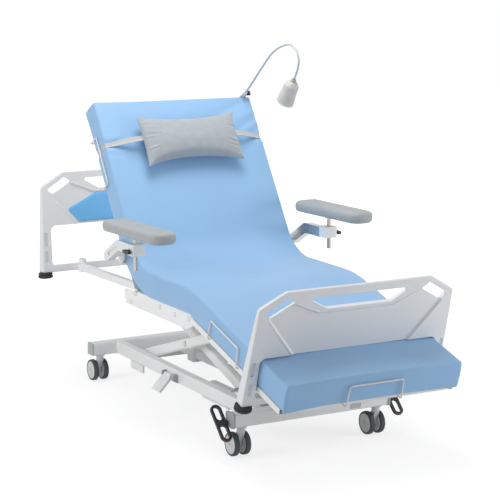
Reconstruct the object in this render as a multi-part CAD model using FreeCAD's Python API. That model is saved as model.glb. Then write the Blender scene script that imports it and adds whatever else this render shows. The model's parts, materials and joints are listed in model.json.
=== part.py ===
"""Dialysis bed: scissor-lift base on castors, level chassis, raised backrest, lowered leg section.

Frame: millimetres, +Z up, +Y towards the head end, +X to the right of someone facing the foot end.
The origin is on the floor, under the middle of the bed's overall length and width.
The backrest and the leg section are drawn lying flat, then turned about the hip and the knee.
"""
import FreeCAD, Part
import math
import os

V = FreeCAD.Vector
X_AXIS = V(1, 0, 0)
Y_AXIS = V(0, 1, 0)
Z_AXIS = V(0, 0, 1)
SIDES = {"left": -1, "right": 1}

# Lying surface
MATTRESS_WIDTH = 800.0
MATTRESS_THICK = 110.0
PLATFORM_TOP = 538.0
SHEET = 4.0
PLATFORM_HALF = 385.0
HIP_Y, HIP_Z = 200.0, 523.0
KNEE_Y, KNEE_Z = -358.0, 526.0
BACK_ANGLE = 57.2
LEG_ANGLE = 16.3
BACK_LENGTH = 880.0
LEG_LENGTH = 808.5
HIP_EAR, KNEE_EAR = 13.0, 10.5
HINGE_PIN = 5.0

# Base
BEAM_HALF = 366.0
BEAM_LOW, BEAM_HIGH = 130.0, 188.0
BEAM_DEPTH = 60.0
HEAD_BEAM_Y, FOOT_BEAM_Y = 731.0, -663.0
RAIL_IN, RAIL_OUT = 207.0, 247.0
WALL = 3.0

# Castors
CASTOR_X = 323.0
CASTOR_TRAIL = 26.0
WHEEL_R = 50.0
TREAD_IN, TREAD_OUT = 13.0, 37.0
STEM_PIN = 7.0

# Scissor lift
ARM_LENGTH = 834.0
ARM_ANGLE = 17.8
ARM_R = 23.0
PIVOT_Y, PIVOT_LOW = 486.0, 170.0
OUTER_X = (166.0, 196.0)
INNER_X = (100.0, 130.0)
LIFT_PIN = 8.0
ROLLER_R = 15.0
LIFT_DOWN, LIFT_UP = 8.0, 35.0

# Chassis
PLATE_IN, PLATE_OUT = 374.0, 380.0
PLATE_LOW, PLATE_HIGH = 461.0, 534.0
PLATE_REAR = 318.0
TUBE_X = (247.0, 277.0)
HEAD_RAIL_HIGH = 36.0
SOCKET_BORE = 12.6
SOCKET_R = 19.0
SOCKET_LOW, SOCKET_HIGH = 466.0, 530.0

# End boards
BOARD_HALF, BOARD_FOOT_HALF, BOARD_TOP_HALF = 444.0, 460.0, 332.0
BOARD_TOP, BOARD_CHAMFER, BOARD_FOOT = 497.0, 431.0, 14.0
BOARD_THICK, BOARD_TOP_THICK = 44.0, 15.0
OPENING_HALF, OPENING_LOW = 407.0, 46.0
HEAD_PANEL_LOW, FOOT_PANEL_LOW = 240.0, 221.0
PANEL_RECESS, BACK_RECESS, RECESS_SLOPE = 7.0, 3.0, 9.0
HEADBOARD_Y, HEADBOARD_Z, HEADBOARD_LEAN = 1084.0, 457.0, 4.8
FOOTBOARD_OUT, FOOTBOARD_DROP = 604.0, 91.0
BUMPER_X, BUMPER_R = 438.0, 36.0

# Armrests
ARM_PIVOT_Y, ARM_PIVOT_Z = 270.0, 690.0
LEVER_X = (455.0, 489.0)
LEVER_DEEP = 46.0
AXLE_R = 8.0
POST_X, POST_Y, POST_R = 482.0, -20.0, 9.0
BLOCK_Z = 763.0
PAD_LOW = 820.0
PAD_RAISE = {"left": 0.0, "right": 14.0}
PAD_TOE = 3.5
PAD_HALF, PAD_FRONT, PAD_REAR = 62.0, 280.0, 200.0

# Pedals
BRAKE_Y, BRAKE_Z, BRAKE_TILT = -656.0, 149.0, 45.0
PEDAL_X = (386.0, 434.0)
BRAKE_SHAFT_HALF = 412.0
STEP_Y = (84.0, 164.0)
STEP_HINGE_X, STEP_HINGE_Z = -259.0, 156.0

RUN = 0.05
GAP = 0.3


def outline(corners):
    """Closed wire in the XY plane through (u, v, r) corners, each rounded by a tangent arc of radius r."""
    edges, count, joints = [], len(corners), []
    for i in range(count):
        u, v, r = corners[i]
        here = V(u, v, 0)
        back = (V(*corners[i - 1][:2], 0) - here).normalize()
        ahead = (V(*corners[(i + 1) % count][:2], 0) - here).normalize()
        if r == 0:
            joints.append((here, here, None))
            continue
        half = back.getAngle(ahead) / 2
        run = r / math.tan(half)
        middle = (back + ahead).normalize()
        crown = here + middle * (r / math.sin(half) - r)
        joints.append((here + back * run, here + ahead * run, crown))
    for i in range(count):
        start, end, crown = joints[i]
        if crown is not None:
            edges.append(Part.Arc(start, crown, end).toShape())
        nearest = joints[(i + 1) % count][0]
        if (nearest - end).Length > 1e-6:
            edges.append(Part.LineSegment(end, nearest).toShape())
    return Part.Wire(edges)


def along_z(corners, z0, z1):
    """Outline in (x, y), extruded from z0 to z1."""
    solid = Part.Face(outline(corners)).extrude(V(0, 0, z1 - z0))
    solid.translate(V(0, 0, z0))
    return solid


def along_x(corners, x0, x1):
    """Outline in (y, z), extruded from x0 to x1."""
    solid = Part.Face(outline(corners)).extrude(V(0, 0, x1 - x0))
    solid.rotate(V(0, 0, 0), V(1, 1, 1), 120)
    solid.translate(V(x0, 0, 0))
    return solid


def along_y(corners, y0, y1):
    """Outline in (x, z), extruded from y0 to y1."""
    solid = Part.Face(outline(corners)).extrude(V(0, 0, y1 - y0))
    solid.rotate(V(0, 0, 0), X_AXIS, 90)
    solid.translate(V(0, y1, 0))
    return solid


def rectangle(u0, u1, v0, v1, r=0.0):
    return [(u0, v0, r), (u1, v0, r), (u1, v1, r), (u0, v1, r)]


def block(x0, x1, y0, y1, z0, z1):
    return Part.makeBox(x1 - x0, y1 - y0, z1 - z0, V(x0, y0, z0))


def rod(start, end, radius):
    start, end = V(*start), V(*end)
    return Part.makeCylinder(radius, (end - start).Length, start, end - start)


def square_tube(along, section, start, end, radius=5.0, wall=WALL):
    """Hollow rounded tube along one axis; section is (u0, u1, v0, v1) across it."""
    u0, u1, v0, v1 = section
    outer = along(rectangle(u0, u1, v0, v1, radius), start, end)
    inner = along(rectangle(u0 + wall, u1 - wall, v0 + wall, v1 - wall, radius - wall), start - 1, end + 1)
    return outer.cut(inner)


def bent_rod(points, radius, bend=None):
    """Round rod along straight runs joined by tangent arcs of one bend radius, or as large as the runs allow."""
    points = [V(*p) for p in points]
    edges, at = [], points[0]
    wanted = bend
    for before, corner, after in zip(points, points[1:], points[2:]):
        shorter = min((before - corner).Length, (after - corner).Length)
        back, ahead = (before - corner).normalize(), (after - corner).normalize()
        half = back.getAngle(ahead) / 2
        bend = wanted or 0.45 * shorter * math.tan(half)
        run = bend / math.tan(half)
        crown = corner + (back + ahead).normalize() * (bend / math.sin(half) - bend)
        edges.append(Part.LineSegment(at, corner + back * run).toShape())
        edges.append(Part.Arc(corner + back * run, crown, corner + ahead * run).toShape())
        at = corner + ahead * run
    edges.append(Part.LineSegment(at, points[-1]).toShape())
    path = Part.Wire(edges)
    ring = Part.Wire(Part.makeCircle(radius, points[0], points[1] - points[0]))
    return path.makePipeShell([ring], True, False)


def spun(corners, centre, axis):
    """Outline in (radius, height) turned round the axis through centre."""
    solid = Part.Face(outline(corners))
    solid.rotate(V(0, 0, 0), X_AXIS, 90)
    solid = solid.revolve(V(0, 0, 0), Z_AXIS, 360)
    solid.Placement = FreeCAD.Placement(V(*centre), FreeCAD.Rotation(Z_AXIS, V(*axis)))
    return solid


def turned(shape, y, z, degrees):
    """Copy of a shape turned about the X line through (y, z)."""
    shape = shape.copy()
    shape.rotate(V(0, y, z), X_AXIS, degrees)
    return shape


def raised(shape):
    return turned(shape, HIP_Y, HIP_Z, BACK_ANGLE)


def lowered(shape):
    return turned(shape, KNEE_Y, KNEE_Z, LEG_ANGLE)


def mirrored(shape):
    return shape.mirror(V(0, 0, 0), X_AXIS)


def both(shape):
    return [shape, mirrored(shape)]


def save(name, solids):
    solids = solids if isinstance(solids, list) else [solids]
    flat = [solid for shape in solids for solid in shape.Solids]
    for solid in flat:
        if not solid.isValid() or solid.Volume <= 0:
            raise ValueError("bad solid in " + name)
    shape = flat[0] if len(flat) == 1 else Part.makeCompound(flat)
    shape.exportStep("parts/" + name + ".step")


# Base frame
def base_beam(y):
    """Cross beam with a stem hole over each castor."""
    half = BEAM_DEPTH / 2
    beam = square_tube(along_x, (y - half, y + half, BEAM_LOW, BEAM_HIGH), -BEAM_HALF, BEAM_HALF, 8.0)
    for side in SIDES.values():
        x = side * CASTOR_X
        beam = beam.cut(rod((x, y, BEAM_LOW - 5), (x, y, BEAM_LOW + 6), STEM_PIN + RUN))
    return beam


def base_rails():
    """Two long rails with the brake-linkage guides that hang under the left one."""
    start, end = FOOT_BEAM_Y + BEAM_DEPTH / 2, HEAD_BEAM_Y - BEAM_DEPTH / 2
    rail = square_tube(along_y, (RAIL_IN, RAIL_OUT, BEAM_LOW, BEAM_HIGH), start, end, 6.0)
    guide_y, guide_low = (416.0, 546.0), 94.0
    guide = along_x([(guide_y[0], guide_low, 10), (guide_y[1], guide_low, 10),
                     (guide_y[1], BEAM_LOW, 0), (guide_y[0], BEAM_LOW, 0)], -RAIL_OUT, -RAIL_OUT + 8)
    strip = along_x(rectangle(-411, -175, BEAM_LOW - 7, BEAM_LOW), -RAIL_OUT, -RAIL_OUT + 30)
    return both(rail) + [guide, strip]


def end_caps():
    """Plastic caps on the head beam and bearing plates for the brake shaft on the foot beam."""
    half, proud = BEAM_DEPTH / 2, 4.0
    head = along_x(rectangle(HEAD_BEAM_Y - half, HEAD_BEAM_Y + half, BEAM_LOW, BEAM_HIGH, 8.0),
                   BEAM_HALF, BEAM_HALF + 6)
    near, far = FOOT_BEAM_Y - half - proud, FOOT_BEAM_Y + half + proud
    foot = along_x(rectangle(near, far, BEAM_LOW - 2, BEAM_HIGH + proud, 9.0), BEAM_HALF, BEAM_HALF + 9)
    foot = foot.fuse(rod((BEAM_HALF + 9, BRAKE_Y, BRAKE_Z), (BEAM_HALF + 15, BRAKE_Y, BRAKE_Z), 14.0))
    foot = foot.cut(rod((BEAM_HALF - 2, BRAKE_Y, BRAKE_Z), (BEAM_HALF + 20, BRAKE_Y, BRAKE_Z), 7.0 + RUN))
    return both(head) + both(foot)


def arm_ends():
    """Pivot points of the scissor at rest: middle, outer top, inner top, inner bottom, as (y, z)."""
    reach = ARM_LENGTH * math.cos(math.radians(ARM_ANGLE))
    rise = ARM_LENGTH * math.sin(math.radians(ARM_ANGLE))
    low, high, slid = PIVOT_LOW, PIVOT_LOW + rise, PIVOT_Y - reach
    return (PIVOT_Y - reach / 2, low + rise / 2), (slid, high), (PIVOT_Y, high), (slid, low)


MIDDLE, OUTER_TOP, INNER_TOP, INNER_LOW = arm_ends()
SLIDE_FROM = PIVOT_Y - ARM_LENGTH * math.cos(math.radians(LIFT_DOWN)) - ROLLER_R - 8
SLIDE_TO = PIVOT_Y - ARM_LENGTH * math.cos(math.radians(LIFT_UP)) + ROLLER_R + 8


def roller_channel(x0, x1, z):
    """C-section track for a roller, open towards the middle of the bed; the web is at x1."""
    half, lip, web = ROLLER_R + 1.0, 4.0, 6.0
    low, high = z - half - lip, z + half + lip
    section = [(x0, low, 0), (x1, low, 2), (x1, high, 2), (x0, high, 0),
               (x0, z + half, 0), (x1 - web, z + half, 0), (x1 - web, z - half, 0), (x0, z - half, 0)]
    return along_y(section, SLIDE_FROM, SLIDE_TO)


def base_lift_mounts():
    """Cross tube with the outer arms' pivot ears and pins, and the tracks of the inner arms' rollers."""
    tube = square_tube(along_x, (518, 558, BEAM_LOW + 2, BEAM_LOW + 42), -RAIL_IN, RAIL_IN)
    solids = [tube] + both(roller_channel(180.0, RAIL_IN, PIVOT_LOW))
    for x0, x1 in ((158, 164), (198, 204)):
        ear = along_x([(518, BEAM_LOW + 4, 0), (518, BEAM_LOW + 40, 0), (PIVOT_Y - 16, PIVOT_LOW + 17, 15),
                       (PIVOT_Y - 16, PIVOT_LOW - 17, 15)], x0, x1)
        ear = ear.cut(rod((x0 - 1, PIVOT_Y, PIVOT_LOW), (x1 + 1, PIVOT_Y, PIVOT_LOW), LIFT_PIN))
        solids += both(ear)
    pin = rod((157, PIVOT_Y, PIVOT_LOW), (206, PIVOT_Y, PIVOT_LOW), LIFT_PIN)
    return solids + both(pin)


def base_deck():
    """Pressed tray between the rails at the foot end."""
    low, rim, out, inside = BEAM_LOW + 2, BEAM_LOW + 20, RAIL_IN, RAIL_IN - WALL
    section = [(-out, rim, 0), (-out, low, 4), (out, low, 4), (out, rim, 0), (inside, rim, 0),
               (inside, low + WALL, 1), (-inside, low + WALL, 1), (-inside, rim, 0)]
    return along_y(section, FOOT_BEAM_Y + BEAM_DEPTH / 2, -390.0)


ROD_R, ROD_BACK = 10.0, -20.0
BARREL_FRONT, BARREL_BACK = -150.0, 330.0


def lift_actuator():
    """Electric actuator between the rails: bored barrel, gearbox, motor and rear lug on the cross tube."""
    barrel = rod((0, BARREL_FRONT, PIVOT_LOW), (0, BARREL_BACK, PIVOT_LOW), 20.0)
    barrel = barrel.cut(rod((0, BARREL_FRONT - 1, PIVOT_LOW), (0, 120, PIVOT_LOW), ROD_R + GAP))
    gearbox = along_z(rectangle(-30, 88, BARREL_BACK, BARREL_BACK + 70, 12.0), PIVOT_LOW - 30, PIVOT_LOW + 30)
    motor = rod((58, BARREL_BACK - 130, PIVOT_LOW), (58, BARREL_BACK, PIVOT_LOW), 27.0)
    lug = along_x(rectangle(BARREL_BACK + 70, 518, PIVOT_LOW - 14, PIVOT_LOW + 2), -14, 14)
    return barrel.fuse([gearbox, motor, lug]).removeSplitter()


def lift_rod():
    """Push rod with the eye that holds the inner arms' roller shaft."""
    y, z = INNER_LOW
    shaft = rod((0, y + 12, z), (0, ROD_BACK, z), ROD_R)
    eye = rod((-14, y, z), (14, y, z), 19.0)
    return shaft.fuse(eye).cut(rod((-20, y, z), (20, y, z), LIFT_PIN + RUN)).removeSplitter()


# Castors
def castor_fork(x, y):
    """Swivel stem, raked neck and axle between the twin wheels."""
    axle_y = y + CASTOR_TRAIL
    top, tail = BEAM_LOW - 24, WHEEL_R - 13
    neck = along_x([(y - 17, top, 4), (y + 17, top, 4),
                    (axle_y + 15, WHEEL_R + 8, 12), (axle_y + 13, tail, 12),
                    (axle_y - 13, tail, 12), (axle_y - 17, WHEEL_R + 14, 12)], x - 11, x + 11)
    collar = spun([(0, -26, 0), (17, -26, 0), (17, -8, 4), (25, -6, 1), (25, -GAP, 1), (0, -GAP, 0)],
                  (x, y, BEAM_LOW), (0, 0, 1))
    pin = rod((x, y, BEAM_LOW - 2), (x, y, BEAM_LOW + 6), STEM_PIN)
    axle = rod((x - TREAD_OUT + 2, axle_y, WHEEL_R), (x + TREAD_OUT - 2, axle_y, WHEEL_R), 6.0)
    return neck.fuse([collar, pin, axle]).removeSplitter()


def castor_wheels(x, y):
    """Twin wheels: each a round-shouldered tyre and a dished hub cover."""
    wide, rim, bore = TREAD_OUT - TREAD_IN, 34.0, 6 + RUN
    tread = [(rim, 1, 0), (44, 0, 4), (WHEEL_R, 6, 8), (WHEEL_R, wide - 5, 8), (43, wide, 4),
             (rim, wide - 1, 0)]
    cover = [(bore, 0, 0), (rim, 1, 0), (rim, wide - 2, 2), (28, wide + 1, 3), (12, wide + 2, 2),
             (bore, wide + 1, 0)]
    solids = []
    for side in SIDES.values():
        centre = (x + side * TREAD_IN, y + CASTOR_TRAIL, WHEEL_R)
        solids += [spun(tread, centre, (side, 0, 0)), spun(cover, centre, (side, 0, 0))]
    return solids


# Pedals
def brake_pedals():
    """Two double-loop rocker pedals across the ends of the brake shaft, sloping down to the foot end."""
    long_half, thick_half, bar, waist, sleeve = 85.0, 5.5, 11.0, 13.0, 12.5
    x0, x1 = PEDAL_X
    low, high = BRAKE_Z - thick_half, BRAKE_Z + thick_half
    round_end = (x1 - x0) / 2 - 0.1
    ring = along_z(rectangle(x0, x1, BRAKE_Y - long_half, BRAKE_Y + long_half, round_end), low, high)
    for near, far in ((-long_half + bar, -waist), (waist, long_half - bar)):
        loop = rectangle(x0 + bar, x1 - bar, BRAKE_Y + near, BRAKE_Y + far, round_end - bar)
        ring = ring.cut(along_z(loop, low - 1, high + 1))
    hub = rod((BEAM_HALF + 16, BRAKE_Y, BRAKE_Z), (x1 - 4, BRAKE_Y, BRAKE_Z), sleeve)
    pedal = ring.fuse(hub).cut(rod((BEAM_HALF, BRAKE_Y, BRAKE_Z), (BRAKE_SHAFT_HALF, BRAKE_Y, BRAKE_Z), 7.0))
    return both(turned(pedal.removeSplitter(), BRAKE_Y, BRAKE_Z, BRAKE_TILT))


def step_pedal():
    """Hinged foot plate beside the left rail, with its rubber edge; it slopes down and outwards."""
    y0, y1 = STEP_Y
    reach, drop, thick = 62.0, 66.0, 7.0
    slope = math.degrees(math.atan2(drop, reach))
    length = math.hypot(reach, drop)
    plate = along_y([(-length, 0, 3), (-12, 0, 0), (-12, thick, 0), (-length, thick, 3)], y0, y1)
    knuckle = rod((0, y0 + 8, 0), (0, y1 - 8, 0), 9.0)
    web = along_y([(-14, 0, 0), (0, -7, 0), (0, 7, 0), (-14, thick, 0)], y0 + 8, y1 - 8)
    plate = plate.fuse([knuckle, web]).cut(rod((0, y0, 0), (0, y1, 0), HINGE_PIN + RUN)).removeSplitter()
    edge = along_y(rectangle(-length, -16, 0, thick + 3, 2.5), y0 - 6, y0)
    solids = []
    for shape in (plate, edge):
        shape.rotate(V(0, 0, 0), Y_AXIS, -slope)
        shape.translate(V(STEP_HINGE_X, 0, STEP_HINGE_Z))
        solids.append(shape)
    return solids


def step_bracket():
    """Two lugs and a pin that carry the foot plate on the left rail."""
    solids = []
    x, z = STEP_HINGE_X, STEP_HINGE_Z
    for y0, y1 in ((STEP_Y[0] - 30, STEP_Y[0] - 7), (STEP_Y[1] + 1, STEP_Y[1] + 9)):
        solids.append(along_y([(-RAIL_OUT, z - 26, 0), (-RAIL_OUT, z + 14, 0), (x - 12, z + 12, 9),
                               (x - 12, z - 14, 9)], y0, y1))
    pin = rod((x, STEP_Y[0] - 7, z), (x, STEP_Y[1] + 1, z), HINGE_PIN)
    return solids + [pin]


# Scissor arms
def arm(x0, x1, low, high):
    """Round-ended bar between two pivots, bored at both ends and in the middle."""
    length = math.dist(low, high)
    bar = along_x(rectangle(-ARM_R, length + ARM_R, -ARM_R, ARM_R, ARM_R - 0.01), x0, x1)
    bar = bar.makeFillet(11.0, [edge for edge in bar.Edges if edge.Length > 100 and edge.BoundBox.XLength < 1])
    for at in (0, length / 2, length):
        bar = bar.cut(rod((x0 - 1, at, 0), (x1 + 1, at, 0), LIFT_PIN + RUN))
    bar.rotate(V(0, 0, 0), X_AXIS, math.degrees(math.atan2(high[1] - low[1], high[0] - low[0])))
    bar.translate(V(0, *low))
    return bar


def point_on(low, high, share):
    return low[0] + (high[0] - low[0]) * share, low[1] + (high[1] - low[1]) * share


def outer_arms():
    bars = both(arm(*OUTER_X, (PIVOT_Y, PIVOT_LOW), OUTER_TOP))
    y, z = point_on((PIVOT_Y, PIVOT_LOW), OUTER_TOP, 0.72)
    return bars + [rod((-OUTER_X[0], y, z), (OUTER_X[0], y, z), 16.0)]


def inner_arms():
    bars = both(arm(*INNER_X, INNER_LOW, INNER_TOP))
    y, z = point_on(INNER_LOW, INNER_TOP, 0.76)
    return bars + [rod((-INNER_X[0], y, z), (INNER_X[0], y, z), 16.0)]


def roller_shaft(pivot, arm_x, roller_x):
    """Shaft between two arms with a flanged roller on each end."""
    y, z = pivot
    shaft = rod((-roller_x[1], y, z), (roller_x[1], y, z), LIFT_PIN)
    solids = [shaft]
    for side in SIDES.values():
        collar = rod((side * (arm_x[1] + 0.5), y, z), (side * roller_x[0], y, z), 12.0)
        wheel = rod((side * roller_x[0], y, z), (side * (roller_x[1] - 1), y, z), ROLLER_R)
        solids.append(collar.fuse(wheel).cut(shaft).removeSplitter())
    return solids


def outer_shafts():
    """Upper roller shaft, and the middle pivot shaft with its dished bolt heads and spacer sleeves."""
    y, z = MIDDLE
    pivot = rod((-OUTER_X[1] - 3, y, z), (OUTER_X[1] + 3, y, z), LIFT_PIN)
    heads, sleeves = [], []
    for side in SIDES.values():
        face = (side * (OUTER_X[1] + 0.5), y, z)
        heads.append(spun([(0, 0, 0), (13, 0, 0), (11, 6, 3), (0, 6, 0)], face, (side, 0, 0)))
        sleeve = rod((side * (INNER_X[1] + 1), y, z), (side * (OUTER_X[0] - 1), y, z), 14.0)
        sleeves.append(sleeve.cut(pivot))
    return roller_shaft(OUTER_TOP, OUTER_X, (198.0, 214.0)) + [pivot.fuse(heads).removeSplitter()] + sleeves


def inner_shafts():
    return roller_shaft(INNER_LOW, INNER_X, (182.0, 199.0))


# Chassis
def seat_plate():
    """Side plate of the seat with ears for the hip and knee pins; the right one is drawn."""
    front = KNEE_Y - KNEE_EAR
    profile = [(PLATE_REAR, PLATE_LOW, 36), (-300, PLATE_LOW, 40), (front, 492, 14), (front, PLATE_HIGH, 6),
               (HIP_Y - 20, PLATE_HIGH, 0), (HIP_Y - 14, PLATE_HIGH - 5, 0), (PLATE_REAR, PLATE_HIGH - 7, 8)]
    plate = along_x(profile, PLATE_IN, PLATE_OUT)
    hip = rod((PLATE_IN, HIP_Y, HIP_Z), (PLATE_OUT, HIP_Y, HIP_Z), HIP_EAR)
    knee = rod((PLATE_IN, KNEE_Y, KNEE_Z), (PLATE_OUT, KNEE_Y, KNEE_Z), KNEE_EAR)
    plate = plate.fuse([hip, knee]).removeSplitter()
    for y, z in ((HIP_Y, HIP_Z), (KNEE_Y, KNEE_Z)):
        plate = plate.cut(rod((PLATE_IN - 1, y, z), (PLATE_OUT + 1, y, z), HINGE_PIN))
    return plate


HIP_TUBE = (90.0, 130.0, 490.0, 528.0)
KNEE_TUBE = (-335.0, -305.0, 470.0, 500.0)
MID_TUBE = (-200.0, -170.0, 470.0, 500.0)
LIFT_TUBE = (PIVOT_Y - 20, PIVOT_Y + 20, 482.0, 514.0)
RAIL_END = HEADBOARD_Y - 41.0


def head_rail_z(y):
    """Height of a head rail's middle: it climbs a little from the headboard to the seat."""
    return 510.0 + (488.0 - 510.0) * (y - HIP_TUBE[1]) / (RAIL_END - HIP_TUBE[1])


def chassis_frame():
    """Cross tubes, seat rails and head rails between the seat plates and the headboard."""
    solids = [square_tube(along_x, tube, -PLATE_IN, PLATE_IN) for tube in (HIP_TUBE, KNEE_TUBE, MID_TUBE)]
    solids.append(square_tube(along_x, LIFT_TUBE, -TUBE_X[0], TUBE_X[0]))
    half = HEAD_RAIL_HIGH / 2
    start, end = HIP_TUBE[1], RAIL_END
    rail = along_x([(start, head_rail_z(start) - half, 0), (end, head_rail_z(end) - half, 0),
                    (end, head_rail_z(end) + half, 0), (start, head_rail_z(start) + half, 0)], *TUBE_X)
    long_edges = [edge for edge in rail.Edges if edge.Length > 500]
    rail = rail.makeFillet(5.0, long_edges)
    seat_rail = square_tube(along_y, (*TUBE_X, 490.0, 516.0), KNEE_TUBE[1], MID_TUBE[0])
    seat_rail_rear = square_tube(along_y, (*TUBE_X, 490.0, 516.0), MID_TUBE[1], HIP_TUBE[0])
    bridge = block(*TUBE_X, KNEE_TUBE[1] - 30, KNEE_TUBE[1], 500.0, 516.0)
    return solids + both(rail) + both(seat_rail) + both(seat_rail_rear) + both(bridge)


def chassis_lift_mounts():
    """Tracks for the outer arms' rollers, hung under the seat, and the ears of the inner arms' top pivots."""
    y, z = INNER_TOP
    web = block(216, 222, SLIDE_FROM, SLIDE_TO, OUTER_TOP[1] + 18, KNEE_TUBE[2])
    solids = []
    for side in SIDES.values():
        track = roller_channel(197.0, 222.0, OUTER_TOP[1]).fuse(web).removeSplitter()
        solids.append(track if side > 0 else mirrored(track))
    half, top = 20.0, LIFT_TUBE[2]
    ear = along_x([(y - half, z - half, 18), (y + half, z - half, 18),
                   (y + half, top, 0), (y - half, top, 0)],
                  134, 141)
    pin = rod((98, y, z), (145, y, z), LIFT_PIN)
    return solids + both(ear.cut(rod((130, y, z), (150, y, z), LIFT_PIN))) + both(pin)


def iv_sockets():
    """Pole sleeves with a foot flange at the head rails' ends, each with the lug that holds the headboard."""
    y, x = RAIL_END + SOCKET_R - 1.5, sum(TUBE_X) / 2
    low, high = SOCKET_LOW - 1, SOCKET_HIGH + 1
    sleeve = spun([(SOCKET_BORE, 0, 0), (SOCKET_R + 3, 0, 2), (SOCKET_R + 3, 6, 2), (SOCKET_R, 7, 0),
                   (SOCKET_R, SOCKET_HIGH - SOCKET_LOW, 2), (SOCKET_BORE, SOCKET_HIGH - SOCKET_LOW, 0)],
                  (x, y, SOCKET_LOW), (0, 0, 1))
    face, clear = y + 15.5, 40.0
    sleeve = sleeve.cut(block(x - clear, x + clear, y - clear, RAIL_END, low, high))
    sleeve = sleeve.cut(block(x - clear, x + clear, face, y + clear, low, high))
    behind = on_head(block(-BOARD_HALF, BOARD_HALF, 0, 60, -50, 100))
    lug = block(x - 12, x + 12, face, HEADBOARD_Y + 20, 477, 500).cut(behind)
    return both(sleeve.fuse(lug).removeSplitter())


BOLTS = ((246.0, 478.0), (-43.0, 508.0), (-187.0, 502.0), (-318.0, 506.0))


def plate_bolts():
    """Dome-headed bolts on the seat plates, and the hip and knee pins."""
    solids = []
    for y, z in BOLTS:
        solids.append(spun([(0, 0, 0), (9, 0, 0), (7, 4, 2), (0, 4, 0)], (PLATE_OUT, y, z), (1, 0, 0)))
    for y, z in ((HIP_Y, HIP_Z), (KNEE_Y, KNEE_Z)):
        pin = rod((353, y, z), (PLATE_OUT, y, z), HINGE_PIN)
        head = spun([(0, 0, 0), (10, 0, 0), (8, 5, 2), (0, 5, 0)], (PLATE_OUT, y, z), (1, 0, 0))
        solids.append(pin.fuse(head).removeSplitter())
    return solids + [mirrored(solid) for solid in solids]


def vented_sheet(y0, y1, rows):
    """Platform sheet with rows of long round-ended slots."""
    low, high, half = PLATFORM_TOP - SHEET, PLATFORM_TOP, PLATFORM_HALF
    sheet = along_z(rectangle(-half, half, y0, y1, 10.0), low, high)
    pitch = (y1 - y0) / rows
    for row in range(rows):
        middle = y0 + pitch * (row + 0.5)
        for x in (-210.0, 0.0, 210.0):
            slot = along_z(rectangle(x - 75, x + 75, middle - 14, middle + 14, 13.9), low - 1, high + 1)
            sheet = sheet.cut(slot)
    return sheet


# End boards
def both_halves(right):
    """Outline symmetric about the middle, from the corners of its right half."""
    return right + [(-x, height, r) for x, height, r in reversed(right)]


def moved_out(corners, by):
    """Corners of an anticlockwise outline with its sides moved out by a distance, or in if it is negative."""
    moved = []
    for i, (u, v, r) in enumerate(corners):
        here = V(u, v, 0)
        back = (here - V(*corners[i - 1][:2], 0)).normalize()
        ahead = (V(*corners[(i + 1) % len(corners)][:2], 0) - here).normalize()
        before, after = V(back.y, -back.x, 0), V(ahead.y, -ahead.x, 0)
        middle = (before + after).normalize()
        place = here + middle * (by / middle.dot(after))
        moved.append((place.x, place.y, r))
    return moved


def pocket(corners, depth, slope):
    """Tool for a recess from y = 0 to a depth, whose sides slope in by a distance."""
    wires = []
    for y in (-1.0, depth):
        wire = outline(moved_out(corners, -slope * y / depth))
        wire.rotate(V(0, 0, 0), X_AXIS, 90)
        wire.translate(V(0, y, 0))
        wires.append(wire)
    return Part.makeLoft(wires, True, True)


def on_back(shape):
    """Tool drawn for the front face, placed on the board's back face, which leans forward above the lower bar."""
    lean = math.degrees(math.atan2(BOARD_THICK - BOARD_TOP_THICK, BOARD_TOP - OPENING_LOW))
    shape = shape.mirror(V(0, 0, 0), Y_AXIS)
    shape.translate(V(0, BOARD_THICK, 0))
    return turned(shape, BOARD_THICK, OPENING_LOW, lean)


def board(panel_low):
    """Moulded end board, front face at y = 0: posts, panel, handle openings, recess between ridges."""
    half_front = [(BOARD_FOOT_HALF, BOARD_FOOT, 8), (BOARD_HALF, BOARD_CHAMFER, 22),
                  (BOARD_TOP_HALF, BOARD_TOP, 26)]
    solid = along_y(both_halves(half_front), 0, BOARD_THICK)
    front = [edge for edge in solid.Edges if edge.BoundBox.YMax < 1e-6]
    solid = solid.makeFillet(5.0, [edge for edge in front if edge.BoundBox.ZMax > BOARD_FOOT + 20])
    reach = 700.0
    solid = solid.cut(on_back(block(-reach, reach, -reach, 0, OPENING_LOW, reach)))
    mouth = along_y([(-OPENING_HALF, OPENING_LOW, 16), (OPENING_HALF, OPENING_LOW, 16),
                     (OPENING_HALF, panel_low, 26), (-OPENING_HALF, panel_low, 26)], -1, BOARD_THICK + 1)
    handle = along_y([(-142, 408, 8), (148, 408, 8), (238, 463, 8), (-240, 463, 8)], -1, BOARD_THICK + 1)
    corner = along_y([(-388, 390, 5), (-286, 449, 5), (-322, 474, 5), (-417, 417, 5)], -1, BOARD_THICK + 1)
    solid = solid.cut(mouth).cut(handle).cut(corner).cut(mirrored(corner))
    half_recess = [(268, panel_low - 20, 0), (268, panel_low + 3, 0), (398, 386, 0), (383, 424, 0),
                   (306, 454, 0), (170, 395, 0)]
    recess = both_halves(half_recess)
    solid = solid.cut(pocket(recess, PANEL_RECESS, RECESS_SLOPE))
    solid = solid.cut(on_back(pocket(recess, BACK_RECESS, RECESS_SLOPE)))
    for side in SIDES.values():
        for low, high in ((62, 118), (146, 208)):
            x = side * (OPENING_HALF + BOARD_FOOT_HALF) / 2
            solid = solid.cut(along_y(rectangle(x - 8, x + 8, low, high, 7.9), -1, 5))
    return solid


def on_head(shape):
    shape = shape.copy()
    shape.translate(V(0, HEADBOARD_Y, HEADBOARD_Z))
    return turned(shape, HEADBOARD_Y, HEADBOARD_Z, -HEADBOARD_LEAN)


def on_foot(shape):
    shape = shape.copy()
    shape.translate(V(0, KNEE_Y - FOOTBOARD_OUT, KNEE_Z - FOOTBOARD_DROP))
    return lowered(shape)


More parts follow.
